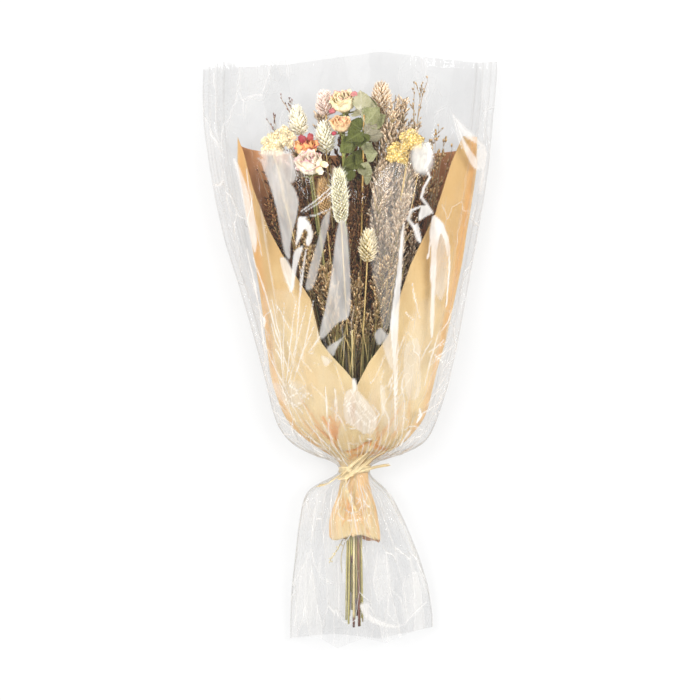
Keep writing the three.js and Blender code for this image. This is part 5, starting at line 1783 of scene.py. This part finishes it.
def make_stage():
    """White paper under the bunch, light from all round and from two sides, and a camera straight above."""
    settings = bpy.context.scene.bouquet
    bpy.ops.object.select_all(action="DESELECT")
    bpy.ops.mesh.primitive_plane_add(size=14, location=(0, 0, -0.0004))
    floor = bpy.context.object
    floor.name = "floor"
    material, node, _ = new_material("white_paper_floor")
    lit = node("BsdfDiffuse", {"Color": srgb("#808080")})
    glow = node("Emission", {"Color": (1, 1, 1), "Strength": settings.floor_glow})
    both = node("AddShader", {0: lit, 1: glow})
    node("OutputMaterial", {0: both})
    floor.data.materials.append(material)

    world = bpy.data.worlds.new("studio")
    bpy.context.scene.world = world
    world.use_nodes = True
    world.node_tree.nodes.clear()
    node = partial(add_node, world.node_tree)
    way = node("TexCoord").outputs["Generated"]
    height = node("SeparateXYZ", {0: way}).outputs[2]
    stops = [(0.0, (1, 1, 1)), (0.5, (0.97, 0.97, 0.97)), (1.0, (0.85, 0.85, 0.85))]
    shade = node("ValToRGB", {0: height}, stops=stops)
    sky = node("Background", {"Color": shade, "Strength": settings.world_strength})
    node("OutputWorld", {0: sky})

    for light in (
        ("key_left", (-1.35, 0.5, 1.45), 0.9, 1.6, 36, False),
        ("key_right", (1.45, 0.35, 1.35), 0.6, 1.6, 33, False),
        ("strip_left", (-1.1, 0.3, 1.5), 0.05, 1.8, 3, True),
        ("strip_right", (0.9, 0.3, 1.7), 0.04, 1.8, 3, True),
    ):
        area_light(*light)

    camera = bpy.data.cameras.new("camera")
    camera.sensor_width = SENSOR_WIDTH
    camera.lens = SENSOR_WIDTH * (CAMERA_HEIGHT - PICTURE_PLANE) / PICTURE_WIDTH
    camera.clip_end = 50.0
    obj = bpy.data.objects.new("camera", camera)
    obj.location = (0.0, 0.0, CAMERA_HEIGHT)
    bpy.context.scene.collection.objects.link(obj)
    bpy.context.scene.camera = obj
    bpy.context.scene.view_settings.view_transform = "Standard"


# ---------------------------------------------------------------- settings, operators and panel


def colour_property(name, description, code):
    """A colour setting, given as an sRGB hex code."""
    return FloatVectorProperty(name=name, description=description, subtype="COLOR", size=3, min=0.0, max=1.0,
                               default=srgb(code))


def number_property(name, description, default, top, **settings):
    """A setting from 0 to its top."""
    return FloatProperty(name=name, description=description, default=default, min=0.0, max=top, **settings)


class BouquetSettings(bpy.types.PropertyGroup):
    """Sizes and finishes of the bouquet that a user would change."""

    film_tint: colour_property("Film tint", "What one layer of film lets through", "#FEFEFE")
    film_gloss: number_property("Film gloss", "How strongly the film mirrors its surroundings", 0.22, 1.0)
    crinkle_depth: number_property("Crinkle depth", "Usual height of a crease in the film", 0.001, 0.004,
                                   unit="LENGTH")
    kraft_outside: colour_property("Kraft outside", "Paper colour on the outside", "#CEB98E")
    kraft_cloud: colour_property("Kraft cloud", "Darker clouds in the paper, and its upper ends", "#BE9C68")
    # The fold colour is painted shade, laid into the paper's folds, dents and sides.
    kraft_fold_shade: colour_property("Kraft fold", "Paper colour where a fold is worn", "#D08E4C")
    # The inside is the same kraft, painted redder and a little darker as the shade inside the wrap.
    kraft_inside_shade: colour_property("Kraft inside", "Paper colour on the inside", "#E2A676")
    kraft_inside_cloud: colour_property("Kraft inside cloud", "Darker clouds on the inside", "#B67C4C")
    floor_glow: number_property("Floor glow", "Light that the white floor adds of itself", 0.62, 2.0)
    world_strength: number_property("Room light", "Strength of the light from all round", 1.0, 5.0)


def build_operator(identifier, label, description, build):
    """An operator class that runs one of the make functions."""

    def execute(self, context):
        build()
        return {"FINISHED"}

    name = "BOUQUET_OT_" + identifier
    return type(name, (bpy.types.Operator,), {
        "bl_idname": "bouquet." + identifier, "bl_label": label, "__doc__": description,
        "bl_options": {"REGISTER", "UNDO"}, "execute": execute,
    })


OPERATORS = [build_operator(*step) for step in (
    ("stage", "Stage", "Makes the white floor, the soft lights and the camera above", make_stage),
    ("film", "Film sleeve", "Makes the clear crinkled sleeve, front and back", make_film),
    ("paper", "Kraft wrap", "Makes the paper wrap with its two front flaps", make_paper),
    ("raffia", "Raffia tie", "Makes the turns, the knot and the ends of the raffia", make_raffia),
    ("roses", "Roses", "Makes the four dried roses and their stems", make_roses),
    ("leaves", "Rose leaves", "Makes the leafy stem and its leaves", make_leaves),
    ("canary", "Canary grass", "Makes the five heads of canary grass", make_canary),
    ("bristle", "Bristly grasses", "Makes the foxtails and the bunny tail", make_bristle_grass),
    ("panicles", "Panicle grasses", "Makes the loose plumes that fill the bunch", make_panicles),
    ("yarrow", "Yarrow", "Makes the flat heads of yarrow", make_yarrow),
    ("statice", "Statice", "Makes the wiry twigs with their buds", make_statice),
    ("bare_stems", "Bare stems", "Makes the stems that end inside the bunch", make_bare_stems),
)]


class BOUQUET_PT_panel(bpy.types.Panel):
    """Lists the sizes, the finishes and the steps of the bouquet."""

    bl_label = "Dried Flower Bouquet"
    bl_idname = "BOUQUET_PT_panel"
    bl_space_type = "VIEW_3D"
    bl_region_type = "UI"
    bl_category = "Bouquet"

    def draw(self, context):
        """Draws the settings, then a button for each step."""
        for name in BouquetSettings.__annotations__:
            self.layout.prop(context.scene.bouquet, name)
        for operator in OPERATORS:
            self.layout.operator(operator.bl_idname)


CLASSES = [BouquetSettings, *OPERATORS, BOUQUET_PT_panel]


def register():
    """Makes the operators, the panel and the scene's settings known to Blender."""
    for cls in CLASSES:
        bpy.utils.register_class(cls)
    bpy.types.Scene.bouquet = PointerProperty(type=BouquetSettings)


def unregister():
    """Takes the operators, the panel and the scene's settings out again."""
    del bpy.types.Scene.bouquet
    for cls in reversed(CLASSES):
        bpy.utils.unregister_class(cls)


def main():
    """Builds the stage and all pieces."""
    register()
    for operator in OPERATORS:
        getattr(bpy.ops.bouquet, operator.bl_idname.split(".")[1])()
    bpy.context.view_layer.update()


if __name__ == "__main__":
    main()
